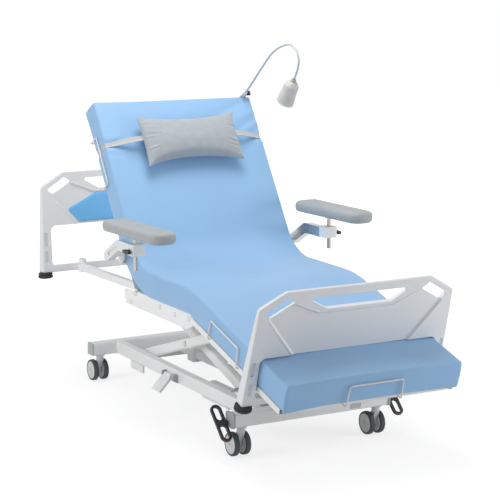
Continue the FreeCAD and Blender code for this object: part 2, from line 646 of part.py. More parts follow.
def headboard_insert():
    """Coloured six-sided panel in the recess on the patient's side."""
    thick, r = 4.0, 14.0
    corners = both_halves([(256, 250, r), (313, 316, r), (164, 386, r)])
    shape = along_y(corners, PANEL_RECESS - thick, PANEL_RECESS)
    front = [edge for edge in shape.Edges if edge.BoundBox.YMax < PANEL_RECESS - thick + 0.1]
    return on_head(shape.makeFillet(2.5, front))


def bumpers(place):
    """Two round buffers with a waist, under the posts of a board."""
    low, high, waist = -14.0, BOARD_FOOT, BUMPER_R - 4
    section = [(0, low, 0), (waist - 4, low, 3), (BUMPER_R, low + 6, 4), (BUMPER_R, low + 15, 3),
               (waist, low + 17, 1), (waist, low + 19, 1), (BUMPER_R - 1, high - 6, 2), (BUMPER_R - 3, high, 1),
               (0, high, 0)]
    disc = spun(section, (BUMPER_X, BOARD_THICK / 2, 0), (0, 0, 1))
    return [place(solid) for solid in both(disc)]


# Mattress
def mattress_section(y, half, thick, crown):
    """Cross-section of the mattress at y: flat base, bowed sides, rounded shoulders and a crowned top."""
    low, foot, shoulder, bow = PLATFORM_TOP, 9.0, 20.0, 3.0
    side_low, side_high, top = low + foot, low + thick - shoulder, low + thick
    foot_cut, shoulder_cut = foot * (1 - math.sqrt(0.5)), shoulder * (1 - math.sqrt(0.5))

    def arc(*places):
        return Part.Arc(*[V(x, y, z) for x, z in places]).toShape()

    edges = [Part.LineSegment(V(-half + foot, y, low), V(half - foot, y, low)).toShape(),
             arc((half - shoulder, top), (0, top + crown), (-half + shoulder, top))]
    half_arcs = [((half - foot, low), (half - foot_cut, low + foot_cut), (half, side_low)),
                 ((half, side_low), (half + bow, (side_low + side_high) / 2), (half, side_high)),
                 ((half, side_high), (half - shoulder_cut, top - shoulder_cut), (half - shoulder, top))]
    for places in half_arcs:
        edges.append(arc(*places))
        edges.append(arc(*[(-x, z) for x, z in places]))
    return Part.Wire(Part.__sortEdges__(edges))


def mattress_run(y0, y1, soft_start, soft_end):
    """Lofted stretch of mattress lying flat; a soft end is drawn in and rounded down."""
    half, thick = MATTRESS_WIDTH / 2, MATTRESS_THICK
    rounding = ((0.0, 10.0), (3.0, 4.0), (8.0, 1.2), (15.0, 0.0))
    cut = ((0.0, 0.0),)
    stations = [(y0 + step, inset, 5.0) for step, inset in (rounding if soft_start else cut)]
    stations.append(((y0 + y1) / 2, 0.0, 8.0))
    stations += [(y1 - step, inset, 5.0) for step, inset in reversed(rounding if soft_end else cut)]
    sections = [mattress_section(y, half - inset, thick - inset, crown) for y, inset, crown in stations]
    return Part.makeLoft(sections, True, True)


def wedge(y, z, lean, towards):
    """Large block on one side of a plane through (y, z) that leans by an angle from the vertical."""
    reach = 700.0
    near, far = sorted((y, y + towards * reach))
    return turned(block(-reach, reach, near, far, z - reach, z + reach), y, z, lean)


HIP_FOLD = BACK_ANGLE / 2 + 7.0
KNEE_GAP = 1.5


def seat_mattress():
    run = mattress_run(KNEE_Y + KNEE_GAP, HIP_Y + 60, False, False)
    return run.cut(wedge(HIP_Y - 4, HIP_Z, HIP_FOLD, 1))


def back_mattress():
    run = mattress_run(HIP_Y - 60, HIP_Y + BACK_LENGTH, False, True)
    return raised(run.cut(wedge(HIP_Y + 4, HIP_Z, -HIP_FOLD, -1)))


def leg_mattress():
    run = mattress_run(KNEE_Y - LEG_LENGTH, KNEE_Y - KNEE_GAP, True, False)
    return lowered(run)


# Backrest
BACK_TUBE = (345.0, 372.0, 505.0, PLATFORM_TOP - SHEET)


def arm_pivot_flat():
    """Armrest pivot as (y, z) with the backrest lying flat."""
    turn = math.radians(-BACK_ANGLE)
    y, z = ARM_PIVOT_Y - HIP_Y, ARM_PIVOT_Z - HIP_Z
    return HIP_Y + y * math.cos(turn) - z * math.sin(turn), HIP_Z + y * math.sin(turn) + z * math.cos(turn)


def backrest_frame():
    """Side tubes with hip lugs, top bar, flat cross strips and the brackets of the armrests."""
    end = HIP_Y + BACK_LENGTH - 8
    x0, x1, low, high = BACK_TUBE
    side = square_tube(along_y, BACK_TUBE, HIP_Y + 22, end)
    ear, ear_r = 11.0, 10.5
    lug = along_x([(HIP_Y + 22, low, 0), (HIP_Y + 22, high - 3, 0), (HIP_Y - ear, HIP_Z + ear, ear_r),
                   (HIP_Y - ear, HIP_Z - ear, ear_r)], x0 + 9, x1)
    lug = lug.cut(rod((x0, HIP_Y, HIP_Z), (x1 + 1, HIP_Y, HIP_Z), HINGE_PIN + RUN))
    solids = both(side) + both(lug)
    solids.append(square_tube(along_x, (end - 70, end - 45, 511.0, high), -x0, x0, 4.0, 2.5))
    for y in (HIP_Y + 60, HIP_Y + 330, HIP_Y + 600):
        solids.append(block(-x0, x0, y, y + 34, high - 6, high))
    y, z = arm_pivot_flat()
    foot = along_x(rectangle(y - 34, y + 34, low + 4, high - 4, 4), x1, 406)
    cheek = along_x([(y - 34, low + 4, 4), (y + 34, low + 4, 4), (y + 24, z + 22, 22), (y - 24, z + 22, 22)],
                    406, 413)
    axle = rod((413, y, z), (LEVER_X[0] + 26, y, z), AXLE_R)
    return [raised(solid) for solid in solids + both(foot.fuse([cheek, axle]).removeSplitter())]


WIRE_R, WIRE_X = 3.0, 410.0


def side_wire(y0, y1, high, root):
    """Bent-wire mattress keeper on the right edge of a flat section, from the side of its rail."""
    low, top, lean = PLATFORM_TOP - 13, PLATFORM_TOP + high, 6.0
    route = [(root, y0 - lean, low), (WIRE_X, y0 - lean, low), (WIRE_X, y0, top),
             (WIRE_X, y1, top), (WIRE_X, y1 + lean, low), (root, y1 + lean, low)]
    return bent_rod(route, WIRE_R, 8.5)


def back_wires():
    wire = side_wire(HIP_Y + 510, HIP_Y + 735, 58.0, BACK_TUBE[1])
    return [raised(solid) for solid in both(wire)]


PILLOW_UP = 652.0
PILLOW_HALF = 246.0
PILLOW_BASE = PLATFORM_TOP + MATTRESS_THICK + 9.4


def pillow():
    """Stuffed cushion with pointed corners: lens-shaped sections that swell towards the middle."""
    stations = [(1.0, 240, 9, 40), (0.92, 228, 46, 44), (0.66, 216, 84, 48), (0.3, 210, 100, 51)]
    wires = []
    for sign, order in ((-1, stations), (1, stations[::-1])):
        for share, tall, thick, seam in order:
            x, middle, rise = sign * share * PILLOW_HALF, HIP_Y + PILLOW_UP, PILLOW_BASE + seam
            low, high = V(x, middle - tall / 2, rise), V(x, middle + tall / 2, rise)
            front = Part.Arc(low, V(x, middle, rise + thick / 2), high).toShape()
            back = Part.Arc(high, V(x, middle, rise - thick / 2), low).toShape()
            wires.append(Part.Wire([front, back]))
    return raised(Part.makeLoft(wires, True, False))


STRAP_UP = 672.0
STRAP_HALF = 12.0


def pillow_strap():
    """Flat band over the front and sides of the mattress, behind the pillow."""
    y0, y1 = HIP_Y + STRAP_UP - STRAP_HALF, HIP_Y + STRAP_UP + STRAP_HALF
    half = MATTRESS_WIDTH / 2
    rings = []
    for grow in (2.4, 0.6):
        face = Part.Face(mattress_section(y0, half + grow, MATTRESS_THICK + grow, 7.0))
        rings.append(face.extrude(V(0, y1 - y0, 0)))
    band = rings[0].cut(rings[1]).cut(block(-500, 500, y0 - 1, y1 + 1, PLATFORM_TOP - 20, PLATFORM_TOP + 16))
    return raised(band)


# Reading lamp
LAMP_X, LAMP_UP = 364.0, HIP_Y + BACK_LENGTH + 5.5
LAMP_TOP = PLATFORM_TOP + MATTRESS_THICK
NECK_R = 4.5


def lamp_bracket():
    """Strap up the end of the backrest with the sleeve that holds the neck."""
    left, right, end, low = LAMP_X - 16, LAMP_X + 16, HIP_Y + BACK_LENGTH, 508.0
    strap = block(left, right, end + 1, end + 4.5, low, LAMP_TOP + 12)
    hook = block(left, right, end - 8, end + 1, low, low + 22)
    sleeve = rod((LAMP_X, LAMP_UP, LAMP_TOP + 3), (LAMP_X, LAMP_UP, LAMP_TOP + 34), 9.0)
    bore = rod((LAMP_X, LAMP_UP, LAMP_TOP + 5), (LAMP_X, LAMP_UP, LAMP_TOP + 40), NECK_R + RUN)
    return raised(strap.fuse([hook, sleeve]).removeSplitter().cut(bore))


def lamp_knob():
    """Three-lobed clamp screw through the side of the sleeve."""
    z = LAMP_TOP + 20
    shank = rod((LAMP_X + 9 + GAP, LAMP_UP, z), (LAMP_X + 18, LAMP_UP, z), 3.5)
    lobes = [rod((LAMP_X + 17, LAMP_UP + 7 * math.cos(turn), z + 7 * math.sin(turn)),
                 (LAMP_X + 27, LAMP_UP + 7 * math.cos(turn), z + 7 * math.sin(turn)), 6.0)
             for turn in (0.5, 0.5 + 2 * math.pi / 3, 0.5 + 4 * math.pi / 3)]
    return raised(shank.fuse(lobes).removeSplitter())


NECK_ROUTE = ((0.0, 0.0, 6.0), (0.0, 0.0, 54.0), (-37.0, 1.0, 390.0), (-43.0, -14.0, 486.0), (-41.0, -47.0, 574.0),
              (-39.0, -95.0, 609.0), (-37.0, -146.0, 602.0), (-35.0, -175.0, 564.0), (-34.0, -195.0, 510.0))
BALL_R = 7.5
PIN_HALF, PIN_R = 10.0, 2.2


def lamp_point(dx, dy, dz):
    """Point given from the sleeve with the backrest flat: across, towards the head, away from the back."""
    point = Part.Vertex(LAMP_X + dx, LAMP_UP + dy, LAMP_TOP + dz)
    return raised(point).Point


def tilt_pin(end, half, radius):
    """Cross pin through the ball, on the line that the lamp head tilts about."""
    return rod((end.x - half, end.y, end.z), (end.x + half, end.y, end.z), radius)


def lamp_neck():
    """Bendable neck, with the ball and the cross pin that the lamp head turns on."""
    points = [lamp_point(*place) for place in NECK_ROUTE]
    neck = bent_rod([tuple(point) for point in points], NECK_R)
    ball = Part.makeSphere(BALL_R, points[-1]).fuse(tilt_pin(points[-1], PIN_HALF, PIN_R))
    return neck.fuse(ball).removeSplitter()


SHADE_AXIS = (-0.09, 0.5, -0.86)


def lamp_shade():
    """Hollow tapered shade with a domed cap and a ball socket, open at the rim."""
    end = lamp_point(*NECK_ROUTE[-1])
    outside = [(0, -3, 0), (10, -3, 1), (12, 0, 1), (12, 9, 0), (20, 11, 6), (33, 27, 12), (35, 45, 0),
               (34, 46, 0), (40, 114, 3), (42, 121, 0)]
    inside = [(40, 121, 0), (38, 113, 3), (32, 47, 3), (30, 32, 8), (0, 28, 0)]
    socket = Part.makeSphere(BALL_R + GAP, end).fuse(tilt_pin(end, PIN_HALF + GAP, PIN_R + RUN))
    return spun(outside + inside, tuple(end), SHADE_AXIS).cut(socket)


def lamp_lens():
    end = lamp_point(*NECK_ROUTE[-1])
    section = [(0, 96, 0), (36.2, 96, 0), (36.7, 101, 0), (20, 104, 8), (0, 105, 0)]
    return spun(section, tuple(end), SHADE_AXIS)


# Armrests
def arm_lever():
    """Cranked flat bar from the backrest pivot to the clamp block, grooved on its outer side; right side."""
    deep, bend_y, level, front = LEVER_DEEP / 2, 150.0, 757.0, POST_Y + 30
    low, high, y, z = level - deep, level + deep, ARM_PIVOT_Y, ARM_PIVOT_Z
    slope = math.atan2(level - z, y - bend_y)
    nx, nz = deep * math.sin(slope), deep * math.cos(slope)
    out_y, out_z = y + deep * math.cos(slope), z - deep * math.sin(slope)
    corners = [(front, low, 0), (bend_y - 6, low, 30), (out_y - nx, out_z - nz, deep - 0.5),
               (out_y + nx, out_z + nz, deep - 0.5), (bend_y + 6, high, 40), (front, high, 0)]
    bar = along_x(corners, *LEVER_X)
    groove = [(bend_y + 6, level - 26, 6), (y - 26, z + 6, 6),
              (y - 20, z + 20, 6), (bend_y + 12, level - 8, 6)]
    bar = bar.cut(along_x(groove, LEVER_X[1] - 3, LEVER_X[1] + 1))
    hole = rod((LEVER_X[0] - 1, y, z), (LEVER_X[0] + 27, y, z), AXLE_R + RUN)
    clamp = along_z(rectangle(POST_X - 36, POST_X + 26, POST_Y - 29, front, 6), BLOCK_Z - 25, BLOCK_Z + 24)
    bar = bar.cut(hole).fuse(clamp).removeSplitter()
    bore = rod((POST_X, POST_Y, BLOCK_Z - 40), (POST_X, POST_Y, BLOCK_Z + 40), POST_R + RUN)
    screw = rod((POST_X + 8, POST_Y, BLOCK_Z - 6), (POST_X + 40, POST_Y, BLOCK_Z - 6), 4.0 + RUN)
    return bar.cut(bore).cut(screw)


def arm_knob():
    """Two-winged clamp screw; right side."""
    x, z = POST_X + 26, BLOCK_Z - 6
    shank = rod((POST_X + 12, POST_Y, z), (x + 12, POST_Y, z), 4.0)
    boss = rod((x + GAP, POST_Y, z), (x + 22, POST_Y, z), 9.0)
    wing = along_x(rectangle(POST_Y - 28, POST_Y + 28, z - 7, z + 7, 5), x + 8, x + 22)
    return shank.fuse([boss, wing]).removeSplitter()


def arm_post(lift):
    """Chrome post with the foot plate that the pad turns on; right side."""
    low, high, flange_thick = 672.0, PAD_LOW - 8, 5.0
    section = [(0, low, 0), (POST_R, low, 2), (POST_R, high, 0), (0, high, 0)]
    post = spun(section, (POST_X, POST_Y, lift), (0, 0, 1))
    flange = rod((POST_X, POST_Y, high + lift), (POST_X, POST_Y, high + flange_thick + lift), 20.0)
    return post.fuse(flange).removeSplitter()


def pad_outline(inset):
    """Plan of the pad: full round front, tighter corners at the back."""
    half, front, rear = PAD_HALF - inset, -PAD_FRONT + inset, PAD_REAR - inset
    return [(-half, front, half - 8), (half, front, half - 8), (half, rear, 26), (-half, rear, 26)]


def arm_pad(side):
    """Padded armrest, swollen at its waist and crowned on top, on a thin carrier plate; both toe to the right."""
    levels = ((0, 13), (5, 5), (17, 0.5), (33, 0), (45, 4), (52, 13), (54, 26))
    wires = []
    for height, inset in levels:
        wire = outline(pad_outline(inset))
        wire.translate(V(0, 0, PAD_LOW + height))
        wires.append(wire)
    pad = Part.makeLoft(wires, True, False)
    carrier = along_z(rectangle(-26, 26, -110, 100, 8), PAD_LOW - 3 + GAP, PAD_LOW)
    solids = []
    for shape in (pad, carrier):
        shape.rotate(V(0, 0, 0), Z_AXIS, PAD_TOE)
        shape.translate(V(SIDES[side] * POST_X, POST_Y, PAD_RAISE[side]))
        solids.append(shape)
    return solids


def handed(side, shapes):
    shapes = shapes if isinstance(shapes, list) else [shapes]
    return shapes if side == "right" else [mirrored(shape) for shape in shapes]


# Leg section
LEG_TUBE = (378.0, 400.0, 508.0, PLATFORM_TOP - SHEET)
KNEE_LUG = (365.0, 372.0)


def leg_frame():
    """Side rails with knee lugs, cross tubes, and the lower rails that carry the footboard."""
    x0, x1, low, high = LEG_TUBE
    start, end = KNEE_Y - LEG_LENGTH + 30, KNEE_Y - 27
    solids = both(square_tube(along_y, LEG_TUBE, start, end, 4.0, 2.5))
    ear, ear_r, web = 10.0, 9.5, end - 60
    lug = along_x([(web, low + 2, 0), (web, high - 2, 0), (end, high - 2, 0),
                   (KNEE_Y + ear, KNEE_Z + ear, ear_r), (KNEE_Y + ear, KNEE_Z - ear, ear_r)], *KNEE_LUG)
    lug = lug.fuse(along_x(rectangle(web, end - 2, low + 2, high - 2), KNEE_LUG[0], x0)).removeSplitter()
    solids += both(lug.cut(rod((x0 - 20, KNEE_Y, KNEE_Z), (x0, KNEE_Y, KNEE_Z), HINGE_PIN + RUN)))
    foot = KNEE_Z - FOOTBOARD_DROP
    lower = (*TUBE_X, foot + BOARD_FOOT + 2, foot + OPENING_LOW)
    solids += both(square_tube(along_y, lower, KNEE_Y - FOOTBOARD_OUT + BOARD_THICK, KNEE_Y - 72))
    for out in (120, 500):
        y = KNEE_Y - out
        solids.append(square_tube(along_x, (y - 13, y + 13, high - 25, high), -x0, x0, 4.0, 2.5))
        solids += both(block(*TUBE_X, y - 13, y + 13, foot + OPENING_LOW, high - 25))
    solids.append(square_tube(along_x, (start, start + 25, high - 25, high), -x0, x0, 4.0, 2.5))
    return [lowered(solid) for solid in solids]


def leg_wires():
    """Mattress keepers on both edges and on the foot end."""
    wire = side_wire(KNEE_Y - 434, KNEE_Y - 197, 74.0, LEG_TUBE[1])
    end, half, low = KNEE_Y - LEG_LENGTH, 122.0, PLATFORM_TOP - 13
    out, high = 8.0, PLATFORM_TOP + 76
    route = [(-half - 5, end + 30, low), (-half - 5, end - out, low), (-half, end - out, high),
             (half, end - out, high), (half + 5, end - out, low), (half + 5, end + 30, low)]
    return [lowered(solid) for solid in both(wire) + [bent_rod(route, WIRE_R, 10.0)]]


def main():
    os.makedirs("parts", exist_ok=True)
    save("base_head_beam", base_beam(HEAD_BEAM_Y))
    save("base_foot_beam", base_beam(FOOT_BEAM_Y))
    save("base_rails", base_rails())
    save("beam_end_caps", end_caps())
    save("base_lift_mounts", base_lift_mounts())
    save("base_deck", base_deck())
    save("lift_actuator", lift_actuator())
    save("lift_actuator_rod", lift_rod())
    save("step_bracket", step_bracket())
    save("step_pedal", step_pedal())
    for end, y in (("head", HEAD_BEAM_Y), ("foot", FOOT_BEAM_Y)):
        for side, sign in SIDES.items():
            save("castor_fork_" + end + "_" + side, castor_fork(sign * CASTOR_X, y))
            save("castor_wheels_" + end + "_" + side, castor_wheels(sign * CASTOR_X, y))
    save("brake_shaft", rod((-BRAKE_SHAFT_HALF, BRAKE_Y, BRAKE_Z), (BRAKE_SHAFT_HALF, BRAKE_Y, BRAKE_Z), 7.0))
    save("brake_pedals", brake_pedals())
    save("outer_arms", outer_arms())
    save("outer_arm_shafts", outer_shafts())
    save("inner_arms", inner_arms())
    save("inner_arm_shaft", inner_shafts())
    save("seat_side_right", seat_plate())
    save("seat_side_left", mirrored(seat_plate()))
    save("chassis_frame", chassis_frame())
    save("chassis_lift_mounts", chassis_lift_mounts())
    save("iv_sockets", iv_sockets())
    save("plate_bolts", plate_bolts())
    save("seat_platform", vented_sheet(KNEE_Y + 18, HIP_Y - 22, 4))
    save("seat_mattress", seat_mattress())
    save("headboard", on_head(board(HEAD_PANEL_LOW)))
    save("headboard_insert", headboard_insert())
    save("head_bumpers", bumpers(on_head))
    save("backrest_frame", backrest_frame())
    save("backrest_platform", raised(vented_sheet(HIP_Y + 14, HIP_Y + BACK_LENGTH - 8, 5)))
    save("back_mattress", back_mattress())
    save("back_wires", back_wires())
    save("pillow", pillow())
    save("pillow_strap", pillow_strap())
    save("lamp_bracket", lamp_bracket())
    save("lamp_knob", lamp_knob())
    save("lamp_neck", lamp_neck())
    save("lamp_shade", lamp_shade())
    save("lamp_lens", lamp_lens())
    for side in SIDES:
        save("arm_lever_" + side, handed(side, arm_lever()))
        save("arm_knob_" + side, handed(side, arm_knob()))
        save("arm_post_" + side, handed(side, arm_post(PAD_RAISE[side])))
        save("arm_pad_" + side, arm_pad(side))
    save("leg_frame", leg_frame())
    save("leg_platform", lowered(vented_sheet(KNEE_Y - LEG_LENGTH + 10, KNEE_Y - 16, 5)))
    save("leg_mattress", leg_mattress())
    save("leg_wires", leg_wires())
    save("footboard", on_foot(board(FOOT_PANEL_LOW)))
    save("foot_bumpers", bumpers(on_foot))


main()
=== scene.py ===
import json
import math

import bmesh
import bpy
from bpy.props import FloatProperty, FloatVectorProperty, PointerProperty
from mathutils import Matrix, Vector, noise
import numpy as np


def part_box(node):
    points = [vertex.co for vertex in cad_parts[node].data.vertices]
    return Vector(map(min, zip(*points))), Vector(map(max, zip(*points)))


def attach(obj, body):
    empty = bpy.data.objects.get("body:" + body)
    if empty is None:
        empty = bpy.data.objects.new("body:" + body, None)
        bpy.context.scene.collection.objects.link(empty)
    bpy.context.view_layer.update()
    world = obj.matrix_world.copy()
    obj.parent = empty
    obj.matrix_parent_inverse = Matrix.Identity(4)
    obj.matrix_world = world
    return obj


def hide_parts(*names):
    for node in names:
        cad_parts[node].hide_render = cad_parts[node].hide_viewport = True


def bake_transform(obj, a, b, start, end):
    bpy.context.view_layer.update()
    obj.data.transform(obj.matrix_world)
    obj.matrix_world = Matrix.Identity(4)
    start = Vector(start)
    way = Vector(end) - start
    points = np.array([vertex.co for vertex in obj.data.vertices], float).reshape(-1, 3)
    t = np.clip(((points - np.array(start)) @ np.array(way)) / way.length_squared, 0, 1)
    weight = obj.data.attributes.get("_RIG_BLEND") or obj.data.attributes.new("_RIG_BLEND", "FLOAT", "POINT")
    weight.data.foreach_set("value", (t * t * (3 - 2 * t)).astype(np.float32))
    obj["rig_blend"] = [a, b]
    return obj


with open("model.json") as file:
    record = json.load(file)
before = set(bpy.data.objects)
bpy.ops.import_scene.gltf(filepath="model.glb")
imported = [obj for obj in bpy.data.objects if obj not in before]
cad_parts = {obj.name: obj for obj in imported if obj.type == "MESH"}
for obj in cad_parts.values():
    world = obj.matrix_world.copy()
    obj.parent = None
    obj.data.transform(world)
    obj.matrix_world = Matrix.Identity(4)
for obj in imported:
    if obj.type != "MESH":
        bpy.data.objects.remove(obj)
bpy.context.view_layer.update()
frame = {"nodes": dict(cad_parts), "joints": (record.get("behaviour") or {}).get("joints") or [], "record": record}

bl_info = {
    "name": "Dialysis bed",
    "version": (1, 0, 0),
    "blender": (4, 5, 0),
    "location": "View3D > Sidebar > Bed",
    "description": "Cushions, fittings and finishes of a dialysis bed, on its CAD frame",
    "category": "Object",
}

JOINTS = {row["name"]: row for row in frame["joints"]}
SLOTS = {row["node"]: row["material_slot"] for row in frame["record"]["subparts"]}
SIDES = {"left": -1, "right": 1}
ENDS = ("head", "foot")

HIP = Vector(JOINTS["backrest"]["pos_m"])
KNEE = Vector(JOINTS["legrest"]["pos_m"])
BACK_ANGLE = math.radians(-JOINTS["backrest"]["range_deg"][0])
LEG_ANGLE = math.radians(JOINTS["legrest"]["range_deg"][1])
RAISED = Matrix.Translation(HIP) @ Matrix.Rotation(BACK_ANGLE, 4, "X") @ Matrix.Translation(-HIP)
LOWERED = Matrix.Translation(KNEE) @ Matrix.Rotation(LEG_ANGLE, 4, "X") @ Matrix.Translation(-KNEE)
ON_HEAD = Matrix.Translation((0.0, 1.084, 0.457)) @ Matrix.Rotation(math.radians(-4.8), 4, "X")
ON_FOOT = LOWERED @ Matrix.Translation(KNEE + Vector((0.0, -0.604, -0.091)))
SHADE_AXIS = Vector((-0.09, 0.5, -0.86)).normalized()
SEAT_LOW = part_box("seat_mattress")[0]


def paint(code):
    """Linear colour from a six-digit screen colour."""
    shares = [int(code[i:i + 2], 16) / 255 for i in (0, 2, 4)]
    return tuple(c / 12.92 if c <= 0.04045 else ((c + 0.055) / 1.055) ** 2.4 for c in shares)


def length(name, description, default):
    return FloatProperty(name=name, description=description, default=default, min=0.0, unit="LENGTH")


def colour(name, description, code):
    return FloatVectorProperty(name=name, description=description, subtype="COLOR", size=3,
                               min=0.0, max=1.0, default=paint(code))


class BedSizes(bpy.types.PropertyGroup):
    """Sizes of the soft and fitted pieces."""
    mattress_half: length("Mattress half width", "Half the width of the mattress", 0.400)
    mattress_thick: length("Mattress thickness", "Thickness at the shoulders", 0.110)
    mattress_crown: length("Mattress crown", "Rise of the top towards the middle", 0.007)
    shoulder: length("Shoulder radius", "Rounding of the upper edges", 0.010)
    low_edge: length("Lower edge radius", "Rounding of the lower edges", 0.006)
    hip_radius: length("Hip radius", "Inner radius of the bend between seat and back", 0.240)
    knee_radius: length("Knee radius", "Outer radius of the bend between seat and legs", 0.620)
    pillow_half: length("Pillow half width", "Half the width of the pillow between its corners", 0.246)
    pillow_tall: length("Pillow height", "Height of the pillow's panels at its sides", 0.246)
    pillow_thick: length("Pillow thickness", "Thickness in the middle", 0.098)
    strap_wide: length("Strap width", "Width of the pillow's strap", 0.024)
    strap_thick: length("Strap thickness", "Thickness of the webbing", 0.0016)
    neck_radius: length("Neck radius", "Radius over the winding of the lamp neck", 0.0045)
    neck_pitch: length("Neck pitch", "Distance between turns of the winding", 0.0036)


class BedColours(bpy.types.PropertyGroup):
    """Colours of the finishes."""
    mattress: colour("Mattress", "Coated cloth of the mattress", "96BFE6")
    pillow: colour("Pillow", "Cloth of the pillow", "A8AFB4")
    strap: colour("Strap", "Webbing of the strap", "C9CBCB")
    pad: colour("Armrest pad", "Foam skin of the armrests", "A8ACAE")
    frame: colour("Frame", "Powder coat of the steelwork", "F2F3F3")
    board: colour("Boards", "Moulded plastic of the end boards", "EBECEE")
    insert: colour("Insert", "Blue panel in the headboard", "74BEF5")


SIZE_NOTES = BedSizes.__annotations__
COLOUR_NOTES = BedColours.__annotations__


class Nodes:
    """Short hand for the nodes of one tree."""

    def __init__(self, tree, prefix=""):
        self.tree = tree
        self.prefix = prefix

    def node(self, kind, inputs=(), **options):
        """Adds a node, sets its options, and sets or links its inputs."""
        made = self.tree.nodes.new(self.prefix + kind)
        for key, value in options.items():
            setattr(made, key, value)
        for key, value in dict(inputs).items():
            self.feed(made.inputs[key], value)
        return made

    def feed(self, socket, value):
        if isinstance(value, bpy.types.NodeSocket):
            self.tree.links.new(value, socket)
        else:
            socket.default_value = value


class Finish(Nodes):
    """One material and its nodes."""

    def __init__(self, name):
        self.material = bpy.data.materials.new(name)
        self.material.use_nodes = True
        super().__init__(self.material.node_tree, "ShaderNode")
        self.shader = self.tree.nodes["Principled BSDF"]
        self.place = self.node("TexCoord").outputs["Object"]

    def set(self, **values):
        """Sets or links the main shader's sockets: words joined by _ in place of spaces."""
        for key, value in values.items():
            self.feed(self.shader.inputs[key.replace("_", " ")], value)

    def cloud(self, scale, detail=3.0, rough=0.5, place=None):
        source = self.node("TexNoise", {"Vector": place or self.place, "Scale": scale, "Detail": detail,
                                        "Roughness": rough})
        return source.outputs["Fac"]

    def spread(self, value, low, high, start=0.3, end=0.7):
        """A value's share between start and end, spread from low to high."""
        made = self.node("MapRange", {"Value": value, "From Min": start, "From Max": end,
                                      "To Min": low, "To Max": high})
        return made.outputs["Result"]

    def blend(self, share, first, second):
        made = self.node("Mix", {0: share}, data_type="RGBA")
        for index, value in ((6, first), (7, second)):
            plain = not isinstance(value, bpy.types.NodeSocket)
            self.feed(made.inputs[index], (*value, 1.0) if plain else value)
        return made.outputs[2]

    def mottle(self, tint, share, scale, detail=3.0):
        """A colour that drifts a little lighter and darker over the surface."""
        dark = [c * (1 - share) for c in tint]
        light = [min(c * (1 + share), 1.0) for c in tint]
        return self.blend(self.spread(self.cloud(scale, detail), 0.0, 1.0), dark, light)

    def math(self, operation, first, second=0.0):
        return self.node("Math", {0: first, 1: second}, operation=operation).outputs[0]

    def part(self, axis):
        """One coordinate of the surface."""
        return self.node("SeparateXYZ", {0: self.place}).outputs[axis]

    def lines(self, scale):
        """Fine lines: noise stretched along the axis with the small scale."""
        stretched = self.node("Mapping", {"Vector": self.place, "Scale": scale}).outputs[0]
        return self.cloud(1.0, 3.0, place=stretched)

    def attribute(self, name):
        return self.node("Attribute", attribute_name=name).outputs["Fac"]

    def waves(self, value, period):
        """Rise and fall between 0 and 1 that repeats along a coordinate."""
        turns = self.math("MULTIPLY", value, 2 * math.pi / period)
        return self.math("MULTIPLY_ADD", self.math("SINE", turns), 0.5)

    def raise_by(self, height, distance, strength=1.0, under=None):
        inputs = {"Height": height, "Distance": distance, "Strength": strength}
        if under:
            inputs["Normal"] = under
        return self.node("Bump", inputs).outputs["Normal"]


def coated(name, tint, rough, grain=900.0, height=0.00006, drift=0.025):
    """Paint, plastic or rubber: a drifting colour, uneven gloss and a fine raised grain."""
    made = Finish(name)
    made.set(Base_Color=made.mottle(tint, drift, 5.0),
             Roughness=made.spread(made.cloud(40.0, 4.0), rough * 0.88, min(rough * 1.14, 1.0)),
             Normal=made.raise_by(made.cloud(grain, 2.0), height))
    return made.material


def brushed(name, tint, rough, axis=0):
    """Metal with fine lines drawn along one axis."""
    made = Finish(name)
    scale = [1800.0, 1800.0, 1800.0]
    scale[axis] = 12.0
    lines = made.lines(scale)
    made.set(Base_Color=made.mottle(tint, 0.04, 9.0), Metallic=1.0,
             Roughness=made.spread(lines, rough * 0.7, rough * 1.3), Normal=made.raise_by(lines, 0.00002))
    return made.material


def coated_cloth(name, tint):
    """Smooth coated knit of the mattress cover: satin, with soft creases and a very fine weave."""
    made = Finish(name)
    along, around = made.attribute("along"), made.attribute("around")
    weave = made.math("MULTIPLY", made.waves(along, 0.0016), made.waves(around, 0.0016))
    soft = made.raise_by(made.cloud(22.0, 4.0, 0.55), 0.0016, 0.35)
    made.set(Base_Color=made.mottle(tint, 0.022, 3.5), Roughness=made.spread(made.cloud(14.0), 0.42, 0.56),
             Specular_IOR_Level=0.32, Sheen_Weight=0.2, Sheen_Roughness=0.4,
             Normal=made.raise_by(weave, 0.00012, 0.5, soft))
    return made.material


def plain_weave(name, tint, thread, rough=0.85):
    """Cotton weave on object coordinates, with slubs and a soft sheen."""
    made = Finish(name)
    over = made.math("MULTIPLY", made.waves(made.part(0), thread), made.waves(made.part(2), thread))
    slub = made.cloud(160.0, 4.0, 0.6)
    made.set(Base_Color=made.mottle(tint, 0.05, 26.0, 5.0),
             Roughness=made.spread(slub, rough - 0.06, rough + 0.06), Sheen_Weight=0.3, Sheen_Roughness=0.5,
             Normal=made.raise_by(over, 0.0002, 0.5, made.raise_by(slub, 0.0006, 0.4)))
    return made.material


def webbing(name, tint):
    """Narrow woven band: ribs across its width, and a lighter selvedge on each edge."""
    made = Finish(name)
    along, across = made.attribute("along"), made.attribute("across")
    ribs = made.waves(along, 0.0022)
    edge = made.spread(made.math("ABSOLUTE", across), 0.0, 1.0, 0.0092, 0.0104)
    dark = [c * 0.86 for c in tint]
    body = made.blend(ribs, dark, tint)
    made.set(Base_Color=made.blend(edge, body, [min(c * 1.1, 1.0) for c in tint]), Roughness=0.82,
             Sheen_Weight=0.2, Normal=made.raise_by(ribs, 0.0003, 0.6))
    return made.material


